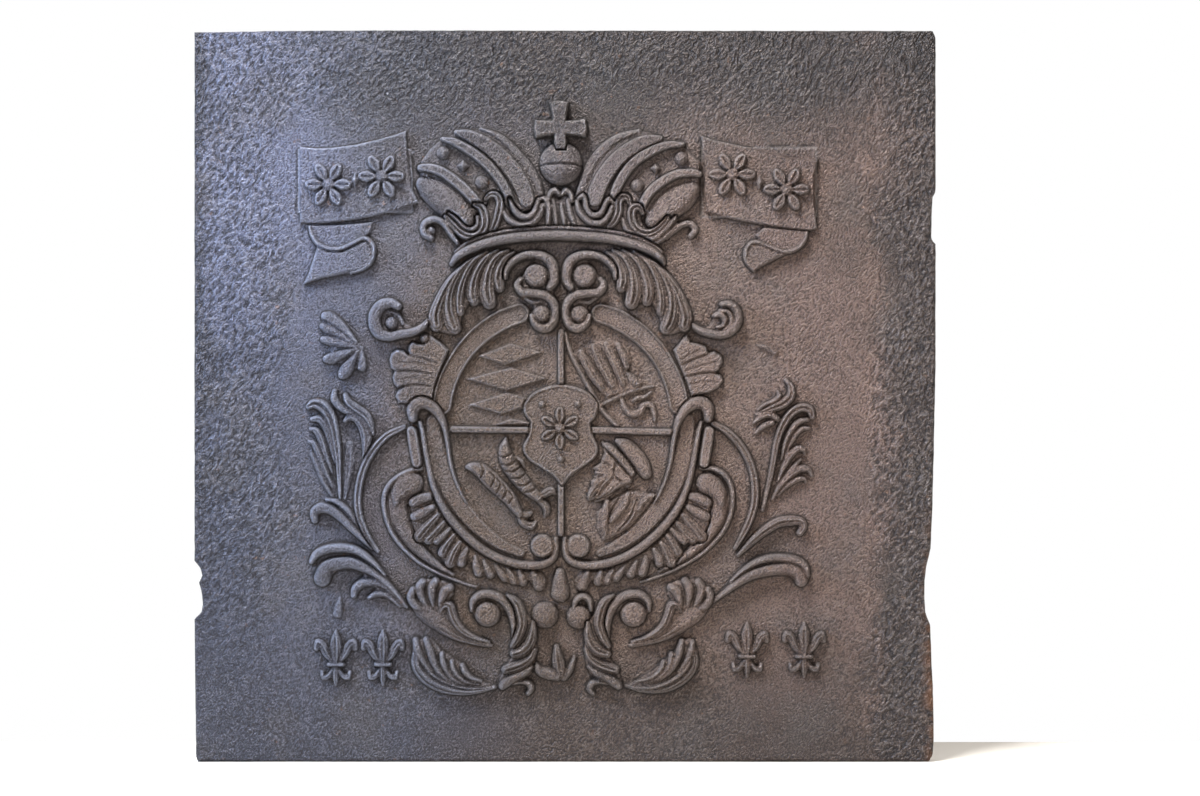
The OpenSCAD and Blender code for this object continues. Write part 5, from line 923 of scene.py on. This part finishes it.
def lattice_noise(size, seed):
    """A smooth random surface with bumps of about this size, as a function of x and z."""
    count = int(NOISE_SPAN / size) + 4
    grid = np.random.default_rng(seed).uniform(-1, 1, (count, count))

    def value(x, z):
        u = (np.asarray(x) - NOISE_X) / size
        v = (np.asarray(z) - NOISE_Z) / size
        i = np.clip(np.floor(u).astype(int), 0, grid.shape[1] - 2)
        j = np.clip(np.floor(v).astype(int), 0, grid.shape[0] - 2)
        a, b = ease(0, 1, u - i), ease(0, 1, v - j)
        return ((grid[j, i] * (1 - a) + grid[j, i + 1] * a) * (1 - b)
                + (grid[j + 1, i] * (1 - a) + grid[j + 1, i + 1] * a) * b)

    return value


swell = lattice_noise(95, 3)
ripple = lattice_noise(31, 5)
lumps = lattice_noise(13, 8)
pocks = lattice_noise(6.5, 13)
drift = lattice_noise(60, 21)
nick_grain = lattice_noise(7, 34)


def coarse_sand(x, z):
    """Share of coarse pitting: rough near the left, top and right edges, smooth in the middle."""
    d = 26 * drift(x, z)
    left = 1 - ease(45, 135, HALF_W + x + d)
    right = 1 - ease(30, 95, HALF_W - x + d)
    top = 1 - ease(40, 130, PLATE_H - z + d)
    low = 0.45 + 0.55 * ease(60, 260, z)
    return np.clip(np.maximum(np.maximum(left * low, right * 0.9), top * 0.8), 0, 1)


def cast_skin(x, z):
    """Unevenness of the plate's front, in millimetres."""
    rough = coarse_sand(x, z)
    return (0.55 * swell(x, z) + 0.22 * ripple(x, z) + (0.1 + 0.32 * rough) * lumps(x, z)
            + (0.05 + 0.34 * rough) * pocks(x, z))


# ---- meshes ----
def grid_of(x, y, z):
    """A grid mesh through these places, which are in millimetres."""
    up, across = x.shape
    spots = np.stack([x * MM, y * MM, z * MM], -1).reshape(-1, 3).tolist()
    bm = bmesh.new()
    bmesh.ops.create_grid(bm, x_segments=across - 1, y_segments=up - 1, size=0.5)
    for vert, spot in zip(bm.verts, spots):
        vert.co = spot
    return bm


def open_rim(bm):
    """The edges where a mesh is open."""
    return [e for e in bm.edges if e.is_boundary]


def drawn_out(bm, rim):
    """Extrudes an open rim, and gives the new points and the new rim."""
    drawn = bmesh.ops.extrude_edge_only(bm, edges=rim)["geom"]
    points = [g for g in drawn if isinstance(g, bmesh.types.BMVert)]
    return points, [g for g in drawn if isinstance(g, bmesh.types.BMEdge) and g.is_boundary]


def finish_mesh(bm, name, nodes, slot):
    """Makes a piece of a mesh with its iron, and hides the solids it stands for."""
    bmesh.ops.recalc_face_normals(bm, faces=bm.faces)
    mesh = bpy.data.meshes.new(name)
    bm.to_mesh(mesh)
    bm.free()
    mesh.shade_smooth()
    piece = bpy.data.objects.new(name, mesh)
    bpy.context.scene.collection.objects.link(piece)
    mesh.materials.append(irons[slot])
    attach(piece, "root")
    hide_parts(*nodes)
    return piece


def motif_piece(node, forms, slot):
    """A motif's height field over the plate's skin, trimmed to its reach and closed behind."""
    ground = GROUNDS.get(node, 0.0)
    tall = -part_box(node)[0].y / MM - FRONT - ground
    i0, j0, raised, kept = raise_motif(forms, tall, WEBS.get(node, 0), ground)
    raised = raised + ground
    up, across = raised.shape
    x, z = np.meshgrid(BOARD_X + CELL * np.arange(i0, i0 + across), BOARD_Z + CELL * np.arange(j0, j0 + up))
    x = x - SHIFT
    bm = grid_of(x, -(FRONT + cast_skin(x, z) + raised), z)
    outside = [v for v, keep in zip(bm.verts, kept.ravel().tolist()) if not keep]
    bmesh.ops.delete(bm, geom=outside, context="VERTS")
    loose = [v for v in bm.verts if not v.link_faces]
    bmesh.ops.delete(bm, geom=loose, context="VERTS")
    points, rim = drawn_out(bm, open_rim(bm))
    for vert in points:
        vert.co.y = (BURIED - FRONT - ground) * MM
    bmesh.ops.triangle_fill(bm, use_beauty=False, use_dissolve=False, edges=rim, normal=(0, 1, 0))
    relief[j0:j0 + up, i0:i0 + across] = np.maximum(relief[j0:j0 + up, i0:i0 + across], raised)
    return finish_mesh(bm, node + "_cast", [node], slot)


# ---- plate ----
INSET = 2.6                # the front's grid stops this far inside the plate's edges
GRID_ACROSS, GRID_UP = 300, 296
CORNER = 9.0               # worn corner, upper right
EDGE_LUMPS = 0.35          # unevenness of the plate's edges
RIGHT_ROW, TOP_ROW, LEFT_ROW = 0, 150, 300     # the rows of the noise that nick the edges
NICKS_END, NICKS_BACK = 540, 450
# rings round the edge, from the front to the back: inset, depth from the plate's middle plane
EDGE_RINGS = ((1.1, -8.3), (0.25, -6.4), (0.0, -3.5), (0.0, 6.0), (0.5, 8.1), (2.2, 9.0))
# wear of the side edges: height, depth
RIGHT_WEAR = [(1, 7), (6, 3), (20, 2), (50, 2), (80, 3), (110, 4.5), (137, 5.5), (144, 8.5), (150, 10.5),
              (163, 11.3), (182, 10.9), (195, 9.5), (201, 8), (214, 5), (245, 3.5), (320, 1.5), (400, 0),
              (519, 0), (520.5, 2.4), (524, 4.4), (540, 4), (558, 3.5), (565, 3.2), (570, 0.5), (575, 0)]
LEFT_WEAR = [(1, 4), (4, 1.5), (143, 0), (149, 6.8), (158, 8.5), (171, 7), (179, 4.7), (186, 7.8), (193, 6.1),
             (197.5, 3), (201, 0)]
# sway of the top edge: place across, rise
TOP_SWAY = [(-371, -1.5), (-281, 0), (-181, 0.5), (371, 0)]


def nick(a, row):
    """Small nicks along an edge, as a share; past the noise's end they begin again."""
    again = np.asarray(a) > NICKS_END
    return 0.5 + 0.5 * nick_grain(a - NICKS_BACK * again, row)


def right_edge(z):
    worn_off = np.interp(z, *zip(*RIGHT_WEAR))
    up = np.clip(z - (PLATE_H - CORNER), 0, CORNER)
    return PLATE_W / 2 - worn_off - (CORNER - np.sqrt(CORNER**2 - up**2)) - 0.5 * nick(z, RIGHT_ROW)


def left_edge(z):
    return -PLATE_W / 2 + np.interp(z, *zip(*LEFT_WEAR)) + 0.5 * nick(z, LEFT_ROW)


def top_edge(x):
    return PLATE_H + np.interp(x, *zip(*TOP_SWAY)) - 0.4 * nick(x, TOP_ROW)


def edge_place(x, z, old, new):
    """Moves a point of the rim from one inset to another."""
    near = old + 0.9
    if x - left_edge(z) < near:
        x = left_edge(z) + new
    elif right_edge(z) - x < near:
        x = right_edge(z) - new
    if top_edge(x) - z < near:
        z = top_edge(x) - new
    elif z < near:
        z = new
    return x, z


def plate_piece(node, slot):
    """The plate: its pitted front, and rings drawn round its worn edges to the flat back."""
    u, v = np.meshgrid(np.linspace(0, 1, GRID_ACROSS + 1), np.linspace(0, 1, GRID_UP + 1))
    z = INSET + v * (PLATE_H - 2 * INSET)
    x = left_edge(z) + INSET + u * (right_edge(z) - left_edge(z) - 2 * INSET)
    z = INSET + v * (top_edge(x) - 2 * INSET)
    x = left_edge(z) + INSET + u * (right_edge(z) - left_edge(z) - 2 * INSET)
    bm = grid_of(x, -(FRONT + cast_skin(x, z)), z)
    rim = open_rim(bm)
    old = INSET
    for inset, depth in EDGE_RINGS:
        points, rim = drawn_out(bm, rim)
        for vert in points:
            px, pz = edge_place(vert.co.x / MM, vert.co.z / MM, old, inset)
            skin = EDGE_LUMPS * float(lumps(px * 1.3 + 40, pz * 1.3)) if abs(depth) < FRONT else 0.0
            vert.co = (px * MM, (depth + skin) * MM, pz * MM)
        old = inset
    bmesh.ops.triangle_fill(bm, use_beauty=True, use_dissolve=False, edges=rim, normal=(0, 1, 0))
    return finish_mesh(bm, "plate_cast", [node], slot)


# ---- iron ----
FRONT_SIDE = -6.0          # what lies farther forward is painted as the front
BACK_COARSE = 0.75         # share of coarse sand on the back and the edges
PEBBLES, GRITS = 250.0, 640.0      # coarse and fine bumps of the sand, to a metre
RUNNEL_X = 0.307           # a pale runnel goes down the right side here, in metres


def paint(piece):
    """Stores the crevices, which get grime and painted shade, the crests, which get wear and a painted
    highlight, and the coarse sand as attributes.
    """
    mesh = piece.data
    co = np.empty(len(mesh.vertices) * 3, np.float32)
    mesh.vertices.foreach_get("co", co)
    x, y, z = (co.reshape(-1, 3).astype(float) / MM).T
    i = np.clip(np.round((x + SHIFT - BOARD_X) / CELL).astype(int), 0, BOARD_ACROSS - 1)
    j = np.clip(np.round((z - BOARD_Z) / CELL).astype(int), 0, BOARD_UP - 1)
    front = y < FRONT_SIDE
    for title, values in (("crevice", crevice[j, i] * front), ("crest", crest[j, i] * front),
                          ("coarse", np.where(front, coarse_sand(x, z), BACK_COARSE))):
        mesh.attributes.new(title, "FLOAT", "POINT").data.foreach_set("value", values.astype(np.float32))


class Recipe:
    """One iron's node tree, and what its coats share. Places on the plate are in metres."""

    def __init__(self, name):
        self.material = bpy.data.materials.new(name)
        self.material.use_nodes = True
        self.tree = self.material.node_tree
        self.tree.nodes.clear()
        self.place = self.node("TexCoord").outputs["Object"]
        axes = self.node("SeparateXYZ", {0: self.place})
        self.x, self.z = axes.outputs["X"], axes.outputs["Z"]
        wander = self.maths("MULTIPLY_ADD", self.grain(5.0, 4.0), 0.2, -0.1)
        self.x_soft = self.maths("ADD", self.x, wander)
        self.z_soft = self.maths("ADD", self.z, wander)
        self.by_window = self.spread(self.x_soft, 0.0, -0.2)
        self.cloud = self.grain(13.0, 5.0)
        lean = self.node("Mapping", {"Vector": self.place, "Rotation": (0, 0.6, 0), "Scale": (1, 1, 1.5)},
                         vector_type="TEXTURE").outputs[0]
        self.pebble = self.grain(PEBBLES, 2.0, 0.5, lean)
        self.grit = self.grain(GRITS, 1.6, 0.6, lean)
        self.crevice = self.stored("crevice")
        self.crest = self.stored("crest")
        self.coarse = self.stored("coarse")

    def node(self, kind, inputs=None, **settings):
        made = self.tree.nodes.new("ShaderNode" + kind)
        for key, value in settings.items():
            setattr(made, key, value)
        for key, value in (inputs or {}).items():
            if isinstance(value, bpy.types.NodeSocket):
                self.tree.links.new(value, made.inputs[key])
            else:
                made.inputs[key].default_value = value
        return made

    def maths(self, operation, *values, clamp=False):
        return self.node("Math", dict(enumerate(values)), operation=operation, use_clamp=clamp).outputs[0]

    def times(self, a, b, clamp=False):
        return self.maths("MULTIPLY", a, b, clamp=clamp)

    def spread(self, value, low, high, to_low=0.0, to_high=1.0):
        """Goes softly from to_low to to_high while the value goes from low to high."""
        return self.node("MapRange", {0: value, 1: low, 2: high, 3: to_low, 4: to_high},
                         interpolation_type="SMOOTHSTEP").outputs[0]

    def grain(self, scale, detail=3.0, rough=0.55, vector=None):
        return self.node("TexNoise", {"Vector": vector or self.place, "Scale": scale, "Detail": detail,
                                      "Roughness": rough}).outputs["Fac"]

    def stored(self, title):
        return self.node("Attribute", attribute_name=title, attribute_type="GEOMETRY").outputs["Fac"]

    def coat(self, under, share, tint):
        """Lays a share of a tint over a colour."""
        colours = {key: value if isinstance(value, bpy.types.NodeSocket) else (*value, 1.0)
                   for key, value in ((6, under), (7, tint))}
        return self.node("Mix", {0: share, **colours}, data_type="RGBA").outputs[2]


# the iron's tone from the left edge to the right one, blue-grey on the left as a painted reflection of the
# window light: place as a share of the width, colour
IRON_TONE_AND_BLUE_SHEEN = ((0.0, (0.047, 0.052, 0.079)), (0.2, (0.079, 0.080, 0.106)), (0.38, (0.113, 0.078, 0.058)),
             (0.62, (0.176, 0.122, 0.099)), (0.86, (0.155, 0.103, 0.087)), (1.0, (0.095, 0.063, 0.050)))
COOL_GREY = (0.105, 0.107, 0.130)
# painted shade along the top; darker at the foot, the right side and the left edge
WARM_DARKENING, COLD_DARKENING, LEFT_EDGE_DARKENING = (0.052, 0.036, 0.030), (0.044, 0.045, 0.062), (0.045, 0.047, 0.066)
# painted reflection of the window light
PAINTED_BLUE_SHEEN = (0.165, 0.182, 0.285)
DULL_CLOUD = (0.085, 0.074, 0.070)
RUNNEL = (0.24, 0.155, 0.125)
# painted shade in the pits of the sand
FINE_PIT_SHADE, DEEP_PIT_SHADE = (0.032, 0.028, 0.030), (0.016, 0.015, 0.018)
# painted highlights on the grains, and painted glints on the pebbles
WARM_GRAIN_HIGHLIGHT, COLD_GRAIN_HIGHLIGHT, PAINTED_GLINT = (0.27, 0.235, 0.215), (0.27, 0.27, 0.32), (0.30, 0.29, 0.31)
# painted shade along the top; grime and painted shade in the crevices
TOP_SHADE, GRIME_AND_PAINTED_SHADE = (0.02, 0.02, 0.022), (0.016, 0.013, 0.012)
# worn crests, with a painted highlight that is bluer on the window side
WARM_CREST, COLD_CREST_HIGHLIGHT = (0.27, 0.25, 0.245), (0.33, 0.36, 0.46)
RUST, RUST_SPECK = (0.21, 0.095, 0.045), (0.2, 0.105, 0.06)


def iron_tone_and_blue_sheen(r):
    """Blue-grey on the left, a painted reflection of the bluish window light, brown on the right, and cool
    grey over the upper middle.
    """
    half = PLATE_W / 2 * MM
    across = r.node("MapRange", {0: r.x_soft, 1: -half, 2: half}).outputs[0]
    tone = r.node("ValToRGB", {0: across})
    ramp = tone.color_ramp
    ramp.interpolation = "EASE"
    while len(ramp.elements) < len(IRON_TONE_AND_BLUE_SHEEN):
        ramp.elements.new(0.5)
    for element, (spot, colour) in zip(ramp.elements, IRON_TONE_AND_BLUE_SHEEN):
        element.position = spot
        element.color = (*colour, 1)
    cool = r.times(r.spread(r.z_soft, 0.40, 0.62), r.spread(r.x_soft, 0.20, -0.02))
    return r.coat(tone.outputs[0], r.times(cool, 0.6), COOL_GREY)


def darkening_share(r):
    """Darkens along the top, where it is painted shade, and along the foot and the right side."""
    top = r.times(r.spread(r.z_soft, 0.56, 0.70), r.spread(r.x_soft, -0.30, -0.12))
    foot = r.spread(r.z_soft, 0.16, 0.03)
    side = r.spread(r.x_soft, 0.27, 0.35)
    return r.maths("MAXIMUM", r.maths("MAXIMUM", top, foot), side)


def darkening_and_sheen(r, colour, darkening):
    """Darker along the foot and the right side, painted shade along the top, a painted blue sheen up on the
    left, darker towards the left edge, dull clouds and a pale runnel down the right.
    """
    # painted shade along the top, darker at the foot and the right side
    colour = r.coat(colour, r.times(darkening, 0.88), r.coat(WARM_DARKENING, r.by_window, COLD_DARKENING))
    # painted reflection: a blue sheen up on the left
    sheen = r.times(r.spread(r.x_soft, -0.16, -0.30), r.spread(r.z_soft, 0.26, 0.60))
    colour = r.coat(colour, r.times(sheen, 0.55), PAINTED_BLUE_SHEEN)
    # darker towards the left edge
    colour = r.coat(colour, r.times(r.spread(r.x_soft, -0.335, -0.362), 0.95), LEFT_EDGE_DARKENING)
    colour = r.coat(colour, r.spread(r.cloud, 0.46, 0.68, 0.0, 0.4), DULL_CLOUD)
    off_runnel = r.maths("ABSOLUTE", r.maths("SUBTRACT", r.x, RUNNEL_X))
    runnel = r.times(r.spread(off_runnel, 0.003, 0.020, 1, 0), r.spread(r.grain(22.0, 4.0), 0.38, 0.62))
    return r.coat(colour, r.times(runnel, 0.38), RUNNEL)


def pitted(r, colour, darkening):
    """Painted shade in the sand's pits, painted highlights on its grains, painted glints on its pebbles, and
    painted shade along the top.
    """
    # painted shade in the pits, where the bump is low
    fine = r.spread(r.grit, 0.36, 0.54, 1, 0)
    colour = r.coat(colour, r.times(fine, r.maths("MULTIPLY_ADD", darkening, 0.13, 0.64)), FINE_PIT_SHADE)
    deep_pit_shade = r.spread(r.pebble, 0.36, 0.52, 1, 0)
    colour = r.coat(colour, r.times(deep_pit_shade, r.spread(r.coarse, 0.1, 0.9, 0.0, 0.7)), DEEP_PIT_SHADE)
    # painted highlights on the tops of the grains, bluer on the window side
    pale = r.times(r.spread(r.grit, 0.50, 0.64), r.spread(r.pebble, 0.40, 0.60, 0.4, 1.0))
    colour = r.coat(colour, r.times(pale, r.maths("MULTIPLY_ADD", darkening, 0.12, 0.24)),
                    r.coat(WARM_GRAIN_HIGHLIGHT, r.by_window, COLD_GRAIN_HIGHLIGHT))
    # painted glints on the pebbles of the coarse sand
    glint = r.times(r.spread(r.pebble, 0.52, 0.62), r.spread(r.coarse, 0.2, 0.9))
    colour = r.coat(colour, r.times(glint, 0.1), PAINTED_GLINT)
    shade = r.times(r.spread(r.z_soft, 0.58, 0.70), r.spread(r.x_soft, -0.30, -0.12, 0.3, 1.0))
    return r.coat(colour, r.times(shade, 0.42), TOP_SHADE)


def rust_share(r):
    """Rust sits low on the right edge."""
    edge = r.spread(r.maths("ADD", r.x, r.times(r.cloud, 0.02)), 0.363, 0.384)
    return r.times(r.times(edge, r.spread(r.z, 0.30, 0.12)), r.spread(r.grain(90.0, 4.0), 0.36, 0.58))


def worn(r, colour, rust):
    """Grime and painted shade in the crevices, worn metal and a painted highlight on the crests, rust and its
    specks.
    """
    # grime and painted shade in the crevices
    colour = r.coat(colour, r.times(r.crevice, 0.85, clamp=True), GRIME_AND_PAINTED_SHADE)
    # worn metal on the crests and a painted highlight, stronger and bluer on the window side
    crest_wear_and_highlight = r.times(r.crest, r.maths("MULTIPLY_ADD", r.by_window, 0.08, 0.38), clamp=True)
    colour = r.coat(colour, crest_wear_and_highlight, r.coat(WARM_CREST, r.by_window, COLD_CREST_HIGHLIGHT))
    colour = r.coat(colour, r.times(rust, 0.75), RUST)
    specks = r.times(r.spread(r.grain(120.0, 2.0), 0.66, 0.74), r.spread(r.cloud, 0.4, 0.6))
    return r.coat(colour, r.times(specks, 0.4), RUST_SPECK)


def waxed_gloss(r, rust):
    """Roughness: grimy crevices and rust are duller than the waxed skin."""
    skin = r.maths("MULTIPLY_ADD", r.grain(45.0, 3.0), 0.2, 0.27)
    return r.maths("MULTIPLY_ADD", rust, 0.25, r.maths("MULTIPLY_ADD", r.crevice, 0.3, skin), clamp=True)


def sand_bump(r):
    """Pebbles on the coarse parts, grit and dust everywhere."""
    rise = r.times(r.spread(r.pebble, 0.3, 0.7), r.spread(r.coarse, 0.0, 1.0, 0.08, 1.0))
    rise = r.maths("MULTIPLY_ADD", r.spread(r.grit, 0.3, 0.7), r.spread(r.coarse, 0.0, 1.0, 0.48, 0.5), rise)
    rise = r.maths("MULTIPLY_ADD", r.grain(1300.0, 1.0), 0.12, rise)
    return r.node("Bump", {"Strength": 1.0, "Distance": 0.0022, "Height": rise}).outputs[0]


def cast_iron(name):
    """Waxed cast iron; all the slots share it, because its colour follows the place on the plate."""
    r = Recipe(name)
    darkening, rust = darkening_share(r), rust_share(r)
    colour = worn(r, pitted(r, darkening_and_sheen(r, iron_tone_and_blue_sheen(r), darkening), darkening), rust)
    shader = r.node("BsdfPrincipled", {"Base Color": colour, "Roughness": waxed_gloss(r, rust),
                                       "Normal": sand_bump(r)})
    shader.inputs["Metallic"].default_value = 0.55
    shader.inputs["Specular IOR Level"].default_value = 0.5
    r.node("OutputMaterial", {"Surface": shader.outputs[0]})
    return r.material


BROAD, FINE = 1.8, 0.9     # blurs that find broad and fine crevices and crests
relief = np.zeros((BOARD_UP, BOARD_ACROSS))
irons = {name: cast_iron(name) for name in ("plate_iron", "blue_grey_iron", "grey_iron", "brown_iron")}
slots = {part["node"]: part["material_slot"] for part in frame["record"]["subparts"]}
pieces = [motif_piece(node, forms, slots[node]) for node, forms in MOTIFS.items()]
relief = np.maximum(relief, 0)
closed = -widened(-widened(relief))      # the hairline seams between motifs get neither grime nor painted shade
# both are above zero in a crevice and below zero on a crest
broad = blur(closed, BROAD / CELL) - closed
fine = blur(closed, FINE / CELL) - closed
# the crevices get grime and painted shade, the crests wear and a painted highlight
crevice = np.clip(np.clip((broad - 0.5) / 2.2, 0, 1) + np.clip(2.2 * fine - 0.12, 0, 1), 0, 1)
crest = np.clip(np.clip(-broad / 2, 0, 1) ** 1.5 + np.clip(-1.6 * fine - 0.1, 0, 1), 0, 1)
pieces.append(plate_piece("back_plate", slots["back_plate"]))
for piece in pieces:
    paint(piece)


# ---- stage, light and camera ----
WALL_Y = 0.107
FLOOR_COLOUR, WALL_COLOUR = (0.8, 0.76, 0.7), (0.86, 0.86, 0.85)
SKY_COLOUR, WINDOW_COLOUR, ROOM_COLOUR = (1, 1, 1), (0.58, 0.74, 1.0), (1.0, 0.86, 0.74)
ROOM_LIGHT = 0.2
CAMERA_X, CAMERA_Z = 0.035, 0.364
CAMERA_AWAY = 2.0          # from the plate's front
LENS, FILM = 60, 36


def flat_material(name, colour):
    material = bpy.data.materials.new(name)
    material.use_nodes = True
    shader = material.node_tree.nodes["Principled BSDF"]
    shader.inputs["Base Color"].default_value = (*colour, 1)
    shader.inputs["Roughness"].default_value = 0.8
    return material


def clear_from_behind(material):
    """Shows the wall plain white from the front, and not at all from behind."""
    tree = material.node_tree
    rays = tree.nodes.new("ShaderNodeLightPath").outputs
    seen = rays["Is Camera Ray"]
    for ray in ("Is Glossy Ray", "Is Transmission Ray"):
        either = tree.nodes.new("ShaderNodeMath")
        either.operation = "MAXIMUM"
        tree.links.new(seen, either.inputs[0])
        tree.links.new(rays[ray], either.inputs[1])
        seen = either.outputs[0]
    behind = tree.nodes.new("ShaderNodeNewGeometry").outputs["Backfacing"]
    shown = tree.nodes["Principled BSDF"].outputs[0]
    for share, kind in ((seen, "Emission"), (behind, "BsdfTransparent")):
        both = tree.nodes.new("ShaderNodeMixShader")
        tree.links.new(share, both.inputs[0])
        tree.links.new(shown, both.inputs[1])
        tree.links.new(tree.nodes.new("ShaderNode" + kind).outputs[0], both.inputs[2])
        shown = both.outputs[0]
    tree.links.new(shown, tree.nodes["Material Output"].inputs[0])


def board_object(name, matrix, material):
    bm = bmesh.new()
    bmesh.ops.create_grid(bm, x_segments=1, y_segments=1, size=1.0, matrix=matrix)
    mesh = bpy.data.meshes.new(name)
    bm.to_mesh(mesh)
    bm.free()
    mesh.materials.append(material)
    made = bpy.data.objects.new(name, mesh)
    bpy.context.scene.collection.objects.link(made)
    return made


def area_lamp(name, spot, aim, size, power, colour):
    lamp = bpy.data.lights.new(name, "AREA")
    lamp.shape = "SQUARE"
    lamp.size = size
    lamp.energy = power
    lamp.color = colour
    made = bpy.data.objects.new(name, lamp)
    made.location = spot
    way = np.subtract(aim, spot)
    tilt = math.atan2(math.hypot(way[0], way[1]), -way[2])
    made.rotation_euler = (tilt, 0, math.atan2(way[1], way[0]) - math.pi / 2)
    bpy.context.scene.collection.objects.link(made)


board_object("floor", Matrix.Scale(4, 4), flat_material("pale_floor", FLOOR_COLOUR))
turned_up = Matrix.Rotation(math.pi / 2, 4, "X") @ Matrix.Diagonal((4, 1.5, 1, 1))
upright = Matrix.Translation((0, WALL_Y, 1.5)) @ turned_up
wall = board_object("wall", upright, flat_material("white_wall", WALL_COLOUR))
wall.visible_shadow = False
clear_from_behind(wall.data.materials[0])

area_lamp("sky_above", (-0.45, -0.62, 2.1), (0, 0, 0.3), 0.5, 72, SKY_COLOUR)
area_lamp("window_left", (-1.7, -0.47, 1.0), (0, 0, 0.35), 0.5, 33, WINDOW_COLOUR)
area_lamp("fill_right", (2.1, -1.6, 1.0), (0, 0, 0.35), 1.4, 14, ROOM_COLOUR)
area_lamp("fill_back", (0.8, 2.2, 1.6), (0, 0, 0.35), 1.6, 30, SKY_COLOUR)

world = bpy.data.worlds.new("soft_room")
bpy.context.scene.world = world
world.use_nodes = True
world.node_tree.nodes["Background"].inputs[0].default_value = (1, 1, 1, 1)
world.node_tree.nodes["Background"].inputs[1].default_value = ROOM_LIGHT

camera = bpy.data.cameras.new("camera")
camera.lens = LENS
camera.sensor_width = FILM
camera_object = bpy.data.objects.new("camera", camera)
camera_object.location = (CAMERA_X, -FRONT * MM - CAMERA_AWAY, CAMERA_Z)
camera_object.rotation_euler = (math.pi / 2, 0, 0)
bpy.context.scene.collection.objects.link(camera_object)
bpy.context.scene.camera = camera_object
bpy.context.scene.view_settings.view_transform = "Standard"
